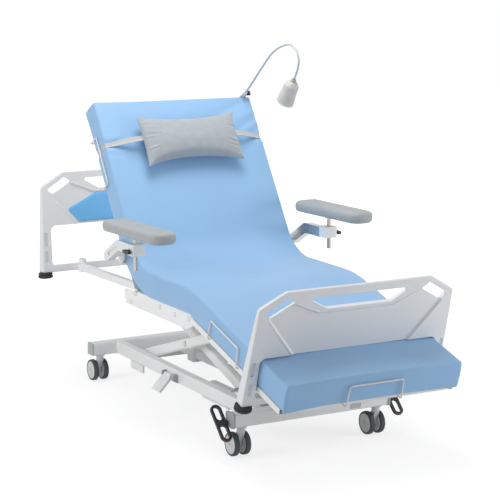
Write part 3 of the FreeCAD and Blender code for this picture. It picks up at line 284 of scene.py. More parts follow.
def foam_skin(name, tint):
    """Skinned foam of the armrests, with a fine leather grain."""
    made = Finish(name)
    cells = made.node("TexVoronoi", {"Vector": made.place, "Scale": 420.0}, feature="DISTANCE_TO_EDGE")
    grain = made.spread(cells.outputs["Distance"], 0.0, 1.0, 0.0, 0.25)
    made.set(Base_Color=made.mottle(tint, 0.03, 9.0, 4.0),
             Roughness=made.spread(made.cloud(30.0), 0.46, 0.62), Normal=made.raise_by(grain, 0.00016, 0.5))
    return made.material


def pedal_plastic(name, tint):
    """Black pedals with a green mark on the upper loop and a red one on the lower."""
    made = Finish(name)
    pivot = JOINTS["brake_rocker"]["pos_m"]
    tilt = math.radians(45.0)
    lean = made.math("ADD", made.math("MULTIPLY", made.part(1), math.cos(tilt)),
                     made.math("MULTIPLY", made.part(2), math.sin(tilt)))
    reach = made.math("SUBTRACT", lean, pivot[1] * math.cos(tilt) + pivot[2] * math.sin(tilt))
    upper = made.spread(reach, 0.0, 1.0, 0.0765, 0.0785)
    lower = made.spread(reach, 1.0, 0.0, -0.0785, -0.0765)
    marked = made.blend(upper, made.mottle(tint, 0.2, 30.0), paint("1F3D37"))
    made.set(Base_Color=made.blend(lower, marked, paint("481F22")),
             Roughness=made.spread(made.cloud(60.0), 0.36, 0.52),
             Normal=made.raise_by(made.cloud(1500.0, 2.0), 0.00008))
    return made.material


def lamp_enamel(name):
    """Enamelled shade: grey collar, pale dome and skirt, a painted highlight on the rim and painted shade inside
    the skirt.
    """
    made = Finish(name)
    ball = JOINTS["lamp_tilt"]["pos_m"]
    arm = made.node("VectorMath", {0: made.place, 1: tuple(ball)}, operation="SUBTRACT").outputs[0]
    down = made.node("VectorMath", {0: arm, 1: tuple(SHADE_AXIS)}, operation="DOT_PRODUCT").outputs["Value"]
    far = made.node("VectorMath", {0: arm}, operation="LENGTH").outputs["Value"]
    squares = [made.math("POWER", value, 2.0) for value in (far, down)]
    out = made.math("SQRT", made.math("SUBTRACT", *squares))
    wall = made.math("ADD", made.math("MULTIPLY", down, 0.088), 0.029)
    inside = made.spread(made.math("SUBTRACT", wall, out), 0.0, 1.0, -0.0003, 0.0003)
    skirt = made.spread(down, 0.0, 1.0, 0.0446, 0.0452)
    rim = made.spread(down, 0.0, 1.0, 0.1135, 0.1145)
    dome, sides = (made.mottle(paint(code), 0.02, 12.0) for code in ("C6C5C2", "C9C7C1"))
    body = made.blend(skirt, dome, sides)
    # Painted highlight: the rim is coloured a lighter grey.
    body = made.blend(rim, body, paint("D8D7D3"))
    # Painted shade: the inside of the skirt is coloured a darker grey-teal.
    body = made.blend(made.math("MULTIPLY", inside, skirt), body, paint("8B9190"))
    made.set(Base_Color=made.blend(made.spread(down, 1.0, 0.0, 0.0086, 0.0094), body, paint("B3ADA4")),
             Roughness=made.spread(made.cloud(12.0), 0.42, 0.52),
             Normal=made.raise_by(made.cloud(24.0, 1.0), 0.00003))
    return made.material


def lever_metal(name):
    """Polished flat bar with a white clamp block at its front end."""
    made = Finish(name)
    block = made.spread(made.part(1), 1.0, 0.0, 0.0104, 0.0112)
    lines = made.lines((900.0, 14.0, 900.0))
    bar, white = made.mottle(paint("C9CBCD"), 0.03, 12.0), made.mottle(paint("F0F1F1"), 0.02, 8.0)
    made.set(Base_Color=made.blend(block, bar, white), Metallic=made.math("SUBTRACT", 1.0, block),
             Roughness=made.spread(lines, 0.20, 0.34), Normal=made.raise_by(lines, 0.00002))
    return made.material


def lens_plastic(name):
    """Frosted lens."""
    made = Finish(name)
    made.set(Base_Color=made.mottle(paint("F2F0EA"), 0.02, 60.0), Transmission_Weight=0.35,
             Roughness=made.spread(made.cloud(200.0), 0.25, 0.4),
             Normal=made.raise_by(made.cloud(500.0), 0.0002))
    return made.material


FINISHES = {}


def make_finishes(tints):
    """Every finish, by the record's slot name or by a name of its own."""
    FINISHES.update({
        "white_frame": coated("powder_coat_white", tints.frame, 0.38),
        "light_grey_steel": coated("powder_coat_grey", paint("D3D5D5"), 0.42),
        "dark_tray": coated("powder_coat_tray", paint("9C9C9A"), 0.5),
        "zinc_steel": brushed("zinc_plate", paint("C9CCCF"), 0.34),
        "board_plastic": coated("board_plastic", tints.board, 0.44, 1400.0, 0.0001, 0.015),
        "insert_blue": coated("insert_plastic", tints.insert, 0.4, 1400.0, 0.0001, 0.03),
        "mattress_blue": coated_cloth("mattress_cover", tints.mattress),
        "pillow_grey": plain_weave("pillow_cotton", tints.pillow, 0.0011),
        "plate": coated("bare_plate", paint("C2C4C5"), 0.45, drift=0.06),
        # Grey a little darker than the board: partly the plugs' own colour, partly painted shade of the slots.
        "plug": coated("slot_plug", paint("D9DBDD"), 0.45, drift=0.03),
        "pad_grey": foam_skin("armrest_skin", tints.pad),
        "black_rubber": coated("black_rubber", paint("24282C"), 0.72, 500.0, 0.0002, 0.15),
        "castor_grey": coated("castor_grey", paint("D4D6D6"), 0.45, drift=0.04),
        "castor_tyre": coated("castor_tyre", paint("454B50"), 0.62, 600.0, 0.0002, 0.12),
        "black_plastic": coated("black_plastic", paint("1D2024"), 0.45, 1500.0, 0.0001, 0.2),
        # The warm tint of the chrome is a painted reflection of warm surroundings.
        "chrome_post": brushed("chrome", paint("BDB3A8"), 0.12, axis=2),
        "arm_alloy": lever_metal("lever_metal"),
        "keeper_wire": coated("wire_coat", paint("E9E3D8"), 0.4, drift=0.04),
        "lamp_shade": lamp_enamel("lamp_enamel"),
        "lamp_neck": coated("neck_coat", paint("BFC6CC"), 0.5, drift=0.04),
        "lamp_lens": lens_plastic("lamp_lens"),
        "cap_grey": coated("cap_grey", paint("AEB3B5"), 0.5, drift=0.05),
        "actuator_grey": coated("actuator_plastic", paint("D6D8D8"), 0.5, drift=0.05),
        "strap": webbing("strap_webbing", tints.strap),
        "pedal": pedal_plastic("pedal_plastic", paint("1F262B")),
        "carrier": coated("carrier_steel", paint("3A3D40"), 0.5, drift=0.1),
    })


def new_piece(name, mesh, slot, finish=None):
    """Object for a finished mesh at the origin, smooth, in its finish."""
    piece = linked(name, mesh)
    mesh.materials.clear()
    mesh.materials.append(FINISHES[finish or slot])
    for face in mesh.polygons:
        face.use_smooth = True
    return piece


def mesh_of(shape, name, sharp=None):
    """Mesh from a bmesh, with outward faces, and sharp edges where an angle is given."""
    bmesh.ops.recalc_face_normals(shape, faces=shape.faces)
    mesh = bpy.data.meshes.new(name)
    shape.to_mesh(mesh)
    shape.free()
    for face in mesh.polygons:
        face.use_smooth = True
    if sharp:
        mesh.set_sharp_from_angle(angle=math.radians(sharp))
    return mesh


def bridge(shape, rings):
    """Quads between closed rings of points, from each to the next."""
    for low, high in zip(rings, rings[1:]):
        for i in range(len(low)):
            j = (i + 1) % len(low)
            shape.faces.new((low[i], low[j], high[j], high[i]))


def closed_stack(shape, rings):
    """Joins closed rings of points by quads, and closes the two ends with a face each."""
    bridge(shape, rings)
    shape.faces.new(rings[0])
    shape.faces.new(rings[-1])


def ring_stack(shape, rings):
    """Closed stack from rings of places."""
    closed_stack(shape, [[shape.verts.new(place) for place in ring] for ring in rings])


def stacked(name, rings, sharp):
    """Mesh of one closed stack of rings."""
    shape = bmesh.new()
    ring_stack(shape, rings)
    return mesh_of(shape, name, sharp)


def circle(radius, height, steps):
    """Level ring of places."""
    turns = [2 * math.pi * i / steps for i in range(steps)]
    return [(radius * math.cos(turn), radius * math.sin(turn), height) for turn in turns]


def clamp(value):
    return min(max(value, 0.0), 1.0)


def bell(value, width):
    """1 at zero, falling away on both sides."""
    return math.exp(-(value / width) ** 2)


def smoothed(piece, name):
    """Adds one level of subdivision."""
    smooth = piece.modifiers.new(name, "SUBSURF")
    smooth.levels = smooth.render_levels = 1


def rounded_box(left, right, low, high, radius, steps):
    """Outline of a rectangle round the origin, with so many steps to each rounded corner."""
    outline = []
    for index, (x, y) in enumerate(((right, high), (left, high), (left, low), (right, low))):
        for i in range(steps + 1):
            turn = math.radians(90.0 * index + 90.0 * i / steps)
            outline.append((x - math.copysign(radius, x) + radius * math.cos(turn),
                            y - math.copysign(radius, y) + radius * math.sin(turn)))
    return outline


def new_tree(name, sockets):
    """Geometry node tree, its entry, and the identifiers of its inputs besides the geometry."""
    tree = bpy.data.node_groups.new(name, "GeometryNodeTree")
    tree.interface.new_socket("Geometry", in_out="INPUT", socket_type="NodeSocketGeometry")
    keys = {}
    for label, kind in sockets.items():
        socket = tree.interface.new_socket(label, in_out="INPUT", socket_type="NodeSocket" + kind)
        keys[label] = socket.identifier
    tree.interface.new_socket("Geometry", in_out="OUTPUT", socket_type="NodeSocketGeometry")
    made = Nodes(tree)
    return made, made.node("NodeGroupInput").outputs, keys


def close_tree(made, geometry, finish):
    """Ends a node tree with real geometry in its finish."""
    real = made.node("GeometryNodeRealizeInstances", {"Geometry": geometry}).outputs[0]
    coat = made.node("GeometryNodeSetMaterial", {"Geometry": real, "Material": finish}).outputs[0]
    made.node("NodeGroupOutput", {"Geometry": coat})


def evaluated(holder, made, keys, values):
    """Plain mesh of an object under a node tree. The object itself is removed."""
    modifier = holder.modifiers.new("Nodes", "NODES")
    modifier.node_group = made.tree
    for label, value in values.items():
        modifier[keys[label]] = value
    result = bpy.data.meshes.new_from_object(holder.evaluated_get(bpy.context.evaluated_depsgraph_get()))
    holder.modifiers.remove(modifier)
    bpy.data.objects.remove(holder)
    return result


def linked(name, data):
    """New object in the scene."""
    made = bpy.data.objects.new(name, data)
    bpy.context.scene.collection.objects.link(made)
    return made


def repeated(name, mesh, places, slot, finish=None):
    """One mesh set at each (point, turn) by Geometry Nodes, as a plain mesh."""
    sockets = {"Piece": "Object", "Size": "Float", "Finish": "Material"}
    made, entry, keys = new_tree(name + "_places", sockets)
    turn = made.node("GeometryNodeInputNamedAttribute", {"Name": "turn"}, data_type="FLOAT_VECTOR")
    piece = made.node("GeometryNodeObjectInfo", {"Object": entry["Piece"]}).outputs["Geometry"]
    euler = made.node("FunctionNodeEulerToRotation", {"Euler": turn.outputs["Attribute"]})
    spots = made.node("GeometryNodeInstanceOnPoints", {
        "Points": entry["Geometry"], "Instance": piece, "Rotation": euler.outputs["Rotation"],
        "Scale": entry["Size"]})
    close_tree(made, spots.outputs["Instances"], entry["Finish"])
    spot_mesh = bpy.data.meshes.new(name + "_spots")
    spot_mesh.from_pydata([point for point, _ in places], [], [])
    turns = spot_mesh.attributes.new("turn", "FLOAT_VECTOR", "POINT")
    for row, (_, angles) in zip(turns.data, places):
        row.vector = angles
    template = linked(name + "_template", mesh)
    result = evaluated(linked(name + "_holder", spot_mesh), made, keys,
                       {"Piece": template, "Size": 1.0, "Finish": FINISHES[finish or slot]})
    bpy.data.objects.remove(template)
    if "turn" in result.attributes:
        result.attributes.remove(result.attributes["turn"])
    return new_piece(name, result, slot, finish)


class BED_OT_stage(bpy.types.Operator):
    """Camera at the photograph's angle, white floor and soft studio light"""
    bl_idname = "bed.stage"
    bl_label = "Stage"

    PLACE, YAW, PITCH = (-3.4936, -6.4729, 2.0384), math.radians(28.94), math.radians(-10.19)
    SENSOR, LENS = 36.0, 122.4
    AMBIENT = 0.40
    LIGHTS = (
        ("key", (-0.15, -0.05, 2.9), (-0.05, 0.0, 0.5), 1.2, 28.5),
        ("left_fill", (-4.2, 0.1, 2.0), (0.0, 0.1, 0.5), 2.2, 64.0),
        ("right_fill", (2.3, -2.2, 0.9), (0.2, -0.2, 0.65), 1.0, 25.0),
    )
    FLOOR_BOUNCE, FLOOR_SHOWN = (0.8, 0.8, 0.8, 1.0), (0.4, 0.4, 0.4, 1.0)
    GLOW = {"From Min": 1.0, "From Max": 3.0, "To Min": 0.72, "To Max": 1.0}

    def execute(self, context):
        scene = context.scene
        scene.view_settings.view_transform = "Standard"
        camera = linked("camera", bpy.data.cameras.new("camera"))
        camera.location = self.PLACE
        level = math.cos(self.PITCH)
        ahead = Vector((math.sin(self.YAW) * level, math.cos(self.YAW) * level, math.sin(self.PITCH)))
        camera.rotation_euler = ahead.to_track_quat("-Z", "Y").to_euler()
        camera.data.sensor_width = self.SENSOR
        camera.data.lens = self.LENS
        scene.camera = camera
        self.floor()
        self.light(scene)
        return {"FINISHED"}

    def seen(self, made):
        """Share of rays that show the background: camera, glossy and transmission rays."""
        path = made.node("LightPath").outputs
        share = path["Is Camera Ray"]
        for name in ("Is Glossy Ray", "Is Transmission Ray"):
            share = made.node("Math", {0: share, 1: path[name]}, operation="MAXIMUM").outputs[0]
        return share

    def floor(self):
        """White floor that keeps the shadow and fades into the background."""
        shape = bmesh.new()
        bmesh.ops.create_grid(shape, x_segments=12, y_segments=12, size=14.0)
        mesh = bpy.data.meshes.new("studio_floor")
        shape.to_mesh(mesh)
        shape.free()
        material = bpy.data.materials.new("studio_white")
        material.use_nodes = True
        made = Nodes(material.node_tree, "ShaderNode")
        made.tree.nodes.clear()
        bounce, shown = (made.node("BsdfDiffuse", {"Color": tint}).outputs[0]
                         for tint in (self.FLOOR_BOUNCE, self.FLOOR_SHOWN))
        spot = made.node("TexCoord").outputs["Object"]
        far = made.node("VectorMath", {0: spot}, operation="LENGTH").outputs["Value"]
        rise = made.node("MapRange", {"Value": far, **self.GLOW}).outputs["Result"]
        glow = made.node("Emission", {"Strength": rise}).outputs[0]
        total = made.node("AddShader", {0: shown, 1: glow}).outputs[0]
        choice = made.node("MixShader", {0: self.seen(made), 1: bounce, 2: total}).outputs[0]
        made.node("OutputMaterial", {"Surface": choice})
        mesh.materials.append(material)
        floor = linked("studio_floor", mesh)

    def light(self, scene):
        """White background, a dimmer ambient light and three soft lamps."""
        world = bpy.data.worlds.new("studio")
        scene.world = world
        world.use_nodes = True
        made = Nodes(world.node_tree, "ShaderNode")
        made.tree.nodes.clear()
        white = (1.0, 1.0, 1.0, 1.0)
        ambient, plain = (made.node("Background", {"Color": white, "Strength": strength}).outputs[0]
                          for strength in (self.AMBIENT, 1.0))
        choice = made.node("MixShader", {0: self.seen(made), 1: ambient, 2: plain}).outputs[0]
        made.node("OutputWorld", {"Surface": choice})
        for name, place, aim, size, watts in self.LIGHTS:
            lamp = bpy.data.lights.new(name, "AREA")
            lamp.size = size
            lamp.energy = watts
            holder = linked(name, lamp)
            holder.location = place
            holder.rotation_euler = (Vector(aim) - Vector(place)).to_track_quat("-Z", "Y").to_euler()


class BED_OT_steelwork(bpy.types.Operator):
    """Makes every finish and sets it on the CAD nodes"""
    bl_idname = "bed.steelwork"
    bl_label = "Steelwork"

    OWN_FINISH = {"brake_pedals": "pedal", "step_bracket": "cap_grey", "lamp_bracket": "light_grey_steel"}

    def execute(self, context):
        make_finishes(context.scene.bed_colours)
        for name, node in frame["nodes"].items():
            finish = self.OWN_FINISH.get(name, SLOTS[name])
            node.data.materials.clear()
            node.data.materials.append(FINISHES[finish])
        return {"FINISHED"}


class BED_OT_mattress(bpy.types.Operator):
    """Mattress over back, seat and legs, in two pieces that bend at the hip and the knee"""
    bl_idname = "bed.mattress"
    bl_label = "Mattress"

    COLUMNS, ARC, SIDE, EDGE = 66, 6, 5, 3
    STEP, KNEE_STEPS, HIP_STEPS, END_STEPS = 0.012, 16, 26, 6
    LEAST_SHOULDER, LEAST_EDGE, SIDE_BULGE = 0.004, 0.003, 0.003
    ROUND_END, END_SHARE, SHARP = 0.008, 0.9, 60.0
    STRAP_UP, FOLDS_FROM, FOLD_END = 0.672, 0.3, 0.02
    FOLD_NARROW, FOLD_WIDENS, FOLD_DROPS = 0.6, 0.6, 0.6
    WAVE_HIGH, WAVE_RATE, WAVE_SEED = 0.0012, 5.0, 0.7
    DENT_DEEP, DENT_WIDE, DENT_FROM, DENT_OVER = 0.008, 0.017, 0.27, 0.11
    PINCH_DEEP, PINCH_WIDE, PINCH_NEAR = 0.006, 0.016, 0.03
    CORNER_OUT, CORNER_LONG = 0.010, 0.14
    HEM_LEFT, HEM_RIGHT, HEM_TALL, HEM_FROM, HEM_OVER = 0.011, 0.006, 0.05, 0.15, 0.22
    FOLDS = (
        (0.377, 0.862, 0.225, 0.805, -0.0085, 0.017), (0.384, 0.800, 0.270, 0.752, 0.0060, 0.015),
        (0.391, 0.736, 0.290, 0.690, 0.0070, 0.012), (0.384, 0.764, 0.290, 0.716, -0.0065, 0.011),
        (0.390, 0.706, 0.340, 0.686, -0.0060, 0.009), (0.388, 0.637, 0.320, 0.627, 0.0050, 0.008),
        (0.392, 0.615, 0.320, 0.586, 0.0045, 0.010), (-0.386, 0.645, -0.335, 0.640, 0.0045, 0.007),
        (-0.388, 0.628, -0.340, 0.618, -0.0045, 0.007), (-0.386, 0.700, -0.340, 0.704, 0.0045, 0.008),
    )

    def execute(self, context):
        size = context.scene.bed_sizes
        rows, middle = self.rows(size)
        upper = self.cushion("mattress_upper", rows[middle:], size, False, True)
        lower = self.cushion("mattress_lower", rows[:middle + 1], size, True, False)
        for piece, nodes in ((upper, ("back_mattress", "seat_mattress")), (lower, ("leg_mattress",))):
            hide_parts(*nodes)
        along = Vector((0.0, math.cos(BACK_ANGLE / 2), math.sin(BACK_ANGLE / 2)))
        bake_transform(upper, "chassis", "back", start=tuple(HIP - 0.16 * along), end=tuple(HIP + 0.16 * along))
        down = Vector((0.0, -math.cos(LEG_ANGLE / 2), -math.sin(LEG_ANGLE / 2)))
        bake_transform(lower, "chassis", "leg", start=tuple(KNEE - 0.09 * down), end=tuple(KNEE + 0.09 * down))
        return {"FINISHED"}

    def rows(self, size):
        """Side view: (underside point, top point, distance up the back), from foot end to head end."""
        thick, low = size.mattress_thick, SEAT_LOW.z
        high = low + thick
        half_knee, half_hip = LEG_ANGLE / 2, BACK_ANGLE / 2
        leg = Vector((-math.cos(LEG_ANGLE), -math.sin(LEG_ANGLE)))
        leg_up = Vector((-math.sin(LEG_ANGLE), math.cos(LEG_ANGLE)))
        knee, hip = Vector((KNEE.y, KNEE.z)), Vector((HIP.y, HIP.z))
        knee_low = Vector((knee.x - (low - knee.y) * math.tan(half_knee), low))
        knee_high = Vector((knee.x - (high - knee.y) * math.tan(half_knee), high))
        reach = size.knee_radius * math.tan(half_knee)
        leg_end_low = knee + leg * self.leg_length() + leg_up * (low - knee.y)
        bend_low = knee_high + leg * reach - leg_up * thick
        rows = [(a, a + leg_up * thick, -1.0) for a in self.spaced(leg_end_low, bend_low)]
        centre = Vector((knee_high.x + reach, high - size.knee_radius))
        seat_low = Vector((knee_high.x + reach, low))
        for i in range(1, self.KNEE_STEPS):
            turn = LEG_ANGLE * (1 - i / self.KNEE_STEPS)
            top = centre + size.knee_radius * Vector((-math.sin(turn), math.cos(turn)))
            share = 2 * i / self.KNEE_STEPS
            under = bend_low.lerp(knee_low, share) if share < 1 else knee_low.lerp(seat_low, share - 1)
            rows.append((under, top, -1.0))
        outer = size.hip_radius + thick
        hip_low = Vector((hip.x - (low - hip.y) * math.tan(half_hip), low))
        start = Vector((hip_low.x - outer * math.tan(half_hip), low))
        seat = [(a, a + Vector((0.0, thick)), -1.0) for a in self.spaced(seat_low, start)]
        middle = len(rows) + len(seat) // 2
        rows += seat
        centre = Vector((start.x, low + outer))
        for i in range(1, self.HIP_STEPS):
            turn = BACK_ANGLE * i / self.HIP_STEPS
            arm = Vector((math.sin(turn), -math.cos(turn)))
            rows.append((centre + arm * outer, centre + arm * size.hip_radius, 0.0))
        arm = Vector((math.sin(BACK_ANGLE), -math.cos(BACK_ANGLE)))
        back = Vector((math.cos(BACK_ANGLE), math.sin(BACK_ANGLE)))
        begin = centre + arm * outer
        finish = hip + back * self.back_length() - arm * (low - hip.y)
        rows += [(a, a - arm * thick, (a - hip).dot(back)) for a in self.spaced(begin, finish)]
        return rows, middle

    def leg_length(self):
        """How far the leg cushion reaches from the knee, along the lowered leg section."""
        along = Vector((math.cos(LEG_ANGLE), math.sin(LEG_ANGLE)))
        return -min((v.co - KNEE).yz.dot(along) for v in frame["nodes"]["leg_mattress"].data.vertices)

    def back_length(self):
        """How far the back cushion reaches from the hip, along the raised back."""
        along = Vector((math.cos(BACK_ANGLE), math.sin(BACK_ANGLE)))
        return max((v.co - HIP).yz.dot(along) for v in frame["nodes"]["back_mattress"].data.vertices)

    def spaced(self, first, last):
        count = max(int((last - first).length / self.STEP), 2)
        return [first.lerp(last, i / count) for i in range(count + 1)]

    def section(self, size, thick, inset):
        """Loop of (across, up, weight of the folds): top, right side, base, left side."""
        half = size.mattress_half - inset
        shoulder = max(size.shoulder - inset, self.LEAST_SHOULDER)
        edge = max(size.low_edge - inset, self.LEAST_EDGE)
        wide, top, base = half - shoulder, thick - inset, half - edge
        across = [-wide + 2 * wide * i / self.COLUMNS for i in range(self.COLUMNS + 1)]
        loop = [(x, top + size.mattress_crown * (1 - (x / wide) ** 2), 1.0) for x in across]
        upper, lower = top - shoulder, inset + edge
        side = []
        for i in range(1, self.ARC + 1):
            turn = math.pi / 2 * (1 - i / self.ARC)
            rise = math.sin(turn)
            side.append((wide + shoulder * math.cos(turn), upper + shoulder * rise, rise))
        for i in range(1, self.SIDE):
            share = i / self.SIDE
            bulge = self.SIDE_BULGE * math.sin(math.pi * share)
            side.append((half + bulge, upper + (lower - upper) * share, 0.0))
        for i in range(self.EDGE + 1):
            turn = math.pi / 2 * i / self.EDGE
            side.append((base + edge * math.cos(turn), lower - edge * math.sin(turn), 0.0))
        under = [(base - 2 * base * i / self.COLUMNS, inset, 0.0) for i in range(1, self.COLUMNS)]
        return loop + side + under + [(-x, h, w) for x, h, w in reversed(side)], len(side)

    def cushion(self, name, rows, size, soft_start, soft_end):
        """One piece of the mattress, rounded at its soft end."""
        half, back_end = size.mattress_half, self.back_length()
        stations = [(low, top, up, 0.0) for low, top, up in rows]
        if soft_start:
            stations = self.rounded_end(stations[::-1])[::-1]
        if soft_end:
            stations = self.rounded_end(stations)
        shape = bmesh.new()
        along_layer = shape.verts.layers.float.new("along")
        around_layer = shape.verts.layers.float.new("around")
        rings, distance, last = [], 0.0, stations[0][0]
        for low, top, up, inset in stations:
            distance += (low - last).length
            last = low
            normal = (top - low).normalized()
            loop, side_count = self.section(size, (top - low).length, inset)
            ring, around, before = [], 0.0, loop[0]
            for x, h, weight in loop:
                around += math.hypot(x - before[0], h - before[1])
                before = (x, h)
                h += weight * self.relief(x, up, distance)
                if soft_start and distance < self.ROUND_END:
                    h -= self.hem(x, h)
                x -= math.copysign(self.pinch(x, up, half), x)
                place = low + normal * h
                if soft_end:
                    poke = self.poke(x, up, half, back_end)
                    place += poke * Vector((normal.y, -normal.x))
                    x -= poke / 2
                vert = shape.verts.new((x, place.x, place.y))
                vert[along_layer] = distance
                vert[around_layer] = around
                ring.append(vert)
            rings.append(ring)
        bridge(shape, rings)
        for ring in (rings[0], rings[-1]):
            self.cap(shape, ring, side_count)
        return new_piece(name, mesh_of(shape, name, self.SHARP), "mattress_blue")

    def rounded_end(self, stations):
        """Replaces the last station with a few that draw in round the end."""
        low, top, up, _ = stations[-1]
        outward = (low - stations[-2][0]).normalized()
        while (stations[-1][0] - low).length < self.ROUND_END:
            stations = stations[:-1]
        for i in range(self.END_STEPS + 1):
            turn = math.pi / 2 * i / self.END_STEPS
            back = self.ROUND_END * (1 - math.sin(turn))
            inset = self.ROUND_END * (1 - math.cos(turn)) * self.END_SHARE
            shift = outward * -back
            stations = stations + [(low + shift, top + shift, up - back if up > 0 else up, inset)]
        return stations

    def cap(self, shape, ring, side_count):
        """Grid over an end."""
        columns, corner = self.COLUMNS, self.COLUMNS + side_count
        top, right = ring[:columns + 1], ring[columns + 1:corner + 1]
        under, left = ring[corner:corner + columns + 1][::-1], ring[corner + columns:][::-1]
        tall = max((under[0].co - top[0].co).length, 1e-6)
        grid = [top]
        for first, last in zip(left[:-1], right[:-1]):
            span = min((first.co - top[0].co).length / tall, 1.0)
            line = [first]
            for i in range(1, columns):
                across = first.co.lerp(last.co, i / columns)
                middle = top[i].co.lerp(under[i].co, span)
                line.append(shape.verts.new((across.x, middle.y, middle.z)))
            grid.append(line + [last])
        grid.append(under)
        for first, second in zip(grid, grid[1:]):
            for i in range(columns):
                corners = (first[i], first[i + 1], second[i + 1], second[i])
                if len(set(corners)) == 4:
                    shape.faces.new(corners)

    def relief(self, x, up, distance):
        """Height of the cover's waves, folds and strap dents above the plain form."""
        spot = Vector((x * self.WAVE_RATE, distance * self.WAVE_RATE, self.WAVE_SEED))
        rise = self.WAVE_HIGH * noise.noise(spot)
        if up > self.FOLDS_FROM:
            edge = clamp((abs(x) - self.DENT_FROM) / self.DENT_OVER)
            rise -= self.DENT_DEEP * edge * edge * bell(up - self.STRAP_UP, self.DENT_WIDE)
            for x0, up0, x1, up1, height, width in self.FOLDS:
                run = Vector((x1 - x0, up1 - up0))
                off = Vector((x - x0, up - up0))
                share = off.dot(run) / run.length_squared
                inner = clamp(share)
                beside = abs(off.cross(run)) / run.length
                fade = bell(beside, width * (self.FOLD_NARROW + self.FOLD_WIDENS * inner))
                ends = bell(abs(share - inner) * run.length, self.FOLD_END)
                rise += height * fade * ends * (1.0 - self.FOLD_DROPS * inner)
        return rise

    def poke(self, x, up, half, back_end):
        """How far the left corner of the head end stands out."""
        near = clamp((up - back_end + self.CORNER_LONG) / self.CORNER_LONG)
        return self.CORNER_OUT * near * near * max(-x / half, 0.0) ** 2

    def hem(self, x, h):
        """How far the lower edge hangs at the foot end: most at the left corner, none in the middle."""
        low = max(1.0 - h / self.HEM_TALL, 0.0)
        corner = clamp((abs(x) - self.HEM_FROM) / self.HEM_OVER)
        return low * corner * corner * (self.HEM_LEFT if x < 0 else self.HEM_RIGHT)

    def pinch(self, x, up, half):
        """How far the strap draws the side in."""
        if up < self.FOLDS_FROM or abs(x) < half - self.PINCH_NEAR:
            return 0.0
        return self.PINCH_DEEP * bell(up - self.STRAP_UP, self.PINCH_WIDE)


